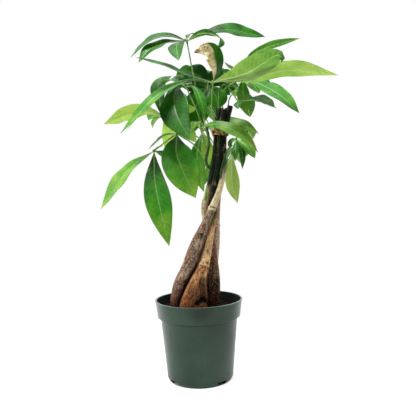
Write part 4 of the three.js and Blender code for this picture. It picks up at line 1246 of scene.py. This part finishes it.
upper_face = leaf_face(
    "glossy_leaf_upper_face", LEAF_TONES,
    rib_share=0.2, rib_width=0.9, vein_share=0.06, matt=0.38, through=0.3,
)
under_face = leaf_face(
    "matt_leaf_under_face", UNDER_TONES,
    rib_share=1.0, rib_width=1.5, vein_share=0.34, matt=0.55, through=0.5,
)
stalk_skin = green_skin("smooth_leaf_stalk_skin", STALK_FRESH, STALK_OLD)
for number, (name, grown) in enumerate(LEAVES.items()):
    shells = [stalk_shell(grown, number)]
    for i, leaflet in enumerate(grown["leaflets"]):
        shells.append(blade_shell(grown["hub"], leaflet, grown["young"], number * 7 + i))
    piece = make_piece("palmate_" + name, shells, [upper_face, under_face, stalk_skin])
    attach(piece, "root")
    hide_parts(name)

# Studio: a plain white floor in a white room that is bright overhead, behind and at the left and dim in
# front, so edges shine and the front stays deep. The camera itself sees the room as plain white.
FLOOR_SIZE = 0.8
FLOOR_WHITE = "#bcbcbc"
FLOOR_WHITE_LIGHT = "#c0c0c0"
FLOOR_CLOUD = 0.25
FLOOR_GLOW = 1.36
# Under the pot's foot the glow is left out, as painted contact shade where the pot stands.
FLOOR_GLOW_START = BODY_FOOT_RADIUS - 3 * MM
FLOOR_GLOW_FULL = BODY_FOOT_RADIUS - 1 * MM
CAMERA_PLACE = (0.020, -0.770, 0.2935)
CAMERA_ROLL = -0.0246
FRAME_PIXELS = 416
FOCAL_PIXELS = 440
SENSOR_WIDTH = 36
ROOM_FRONT = 0.08
ROOM_PANELS = [
    ("Z", 0.2, 0.9, 0.45),
    ("Y", -0.1, 0.7, 1.3),
    ("X", -0.5, -0.9, 1.4),
    ("X", 0.75, 0.97, 0.6),
]
LOOK_AT = Vector((0.03, 0, 0.35))
LIGHTS = {
    "top_softbox": {"place": (-0.15, -0.35, 1.75), "size": 0.4, "power": 36},
    "left_softbox": {"place": (-1.2, -0.7, 1.0), "size": 0.7, "power": 9},
}


def floor_paint():
    """Matt white studio floor paint with a hardly visible unevenness. It glows evenly white, except under
    the pot's foot, where the glow is left out as painted contact shade.
    """
    material, place = new_material("matt_white_floor_paint")
    cloud = cloudy(place, FLOOR_CLOUD)
    white = mix(cloud, FLOOR_WHITE, FLOOR_WHITE_LIGHT)
    # No glow under the pot's foot: painted contact shade.
    from_pot = add("VectorMath", {0: place}, operation="LENGTH").outputs["Value"]
    glow = ranged(from_pot, FLOOR_GLOW_START, FLOOR_GLOW_FULL, 0, FLOOR_GLOW)
    return finished(material, add("BsdfPrincipled", {
        "Base Color": white, "Roughness": 0.9, "Emission Color": white, "Emission Strength": glow,
    }))


floor_mesh = bpy.data.meshes.new("studio_floor")
edge = FLOOR_SIZE / 2
corners = [(-edge, -edge, 0), (edge, -edge, 0), (edge, edge, 0), (-edge, edge, 0)]
floor_mesh.from_pydata(corners, [], [(0, 1, 2, 3)])
floor_mesh.materials.append(floor_paint())
floor = new_object("studio_floor", floor_mesh)

world = bpy.data.worlds.new("white_studio_room")
world.use_nodes = True
world.node_tree.nodes.clear()
way = parts(add("TexCoord", {}, world.node_tree).outputs["Generated"])
room = ROOM_FRONT
for axis, dim, bright, strength in ROOM_PANELS:
    panel = ranged(way[axis], dim, bright, 0, strength, interpolation_type="SMOOTHSTEP")
    room = calc("ADD", room, panel)
lit_room = add("Background", {"Color": (1, 1, 1, 1), "Strength": room})
seen_room = add("Background", {"Color": (1, 1, 1, 1), "Strength": 1.0}, world.node_tree)
seen = add("LightPath", {}, world.node_tree).outputs["Is Camera Ray"]
whole_room = add("MixShader", {"Fac": seen, 1: lit_room, 2: seen_room})
add("OutputWorld", {"Surface": whole_room})
bpy.context.scene.world = world

for name, light in LIGHTS.items():
    lamp = bpy.data.lights.new(name, "AREA")
    lamp.size = light["size"]
    lamp.energy = light["power"]
    holder = new_object(name, lamp)
    holder.location = light["place"]
    holder.rotation_euler = (LOOK_AT - Vector(light["place"])).to_track_quat("-Z", "Y").to_euler()

lens = bpy.data.cameras.new("camera")
lens.sensor_width = SENSOR_WIDTH
lens.lens = SENSOR_WIDTH * FOCAL_PIXELS / FRAME_PIXELS
camera = new_object("camera", lens)
camera.location = CAMERA_PLACE
aim = Matrix.Rotation(math.pi / 2, 4, "X") @ Matrix.Rotation(CAMERA_ROLL, 4, "Z")
camera.rotation_euler = aim.to_euler()
bpy.context.scene.camera = camera
bpy.context.scene.view_settings.view_transform = "Standard"
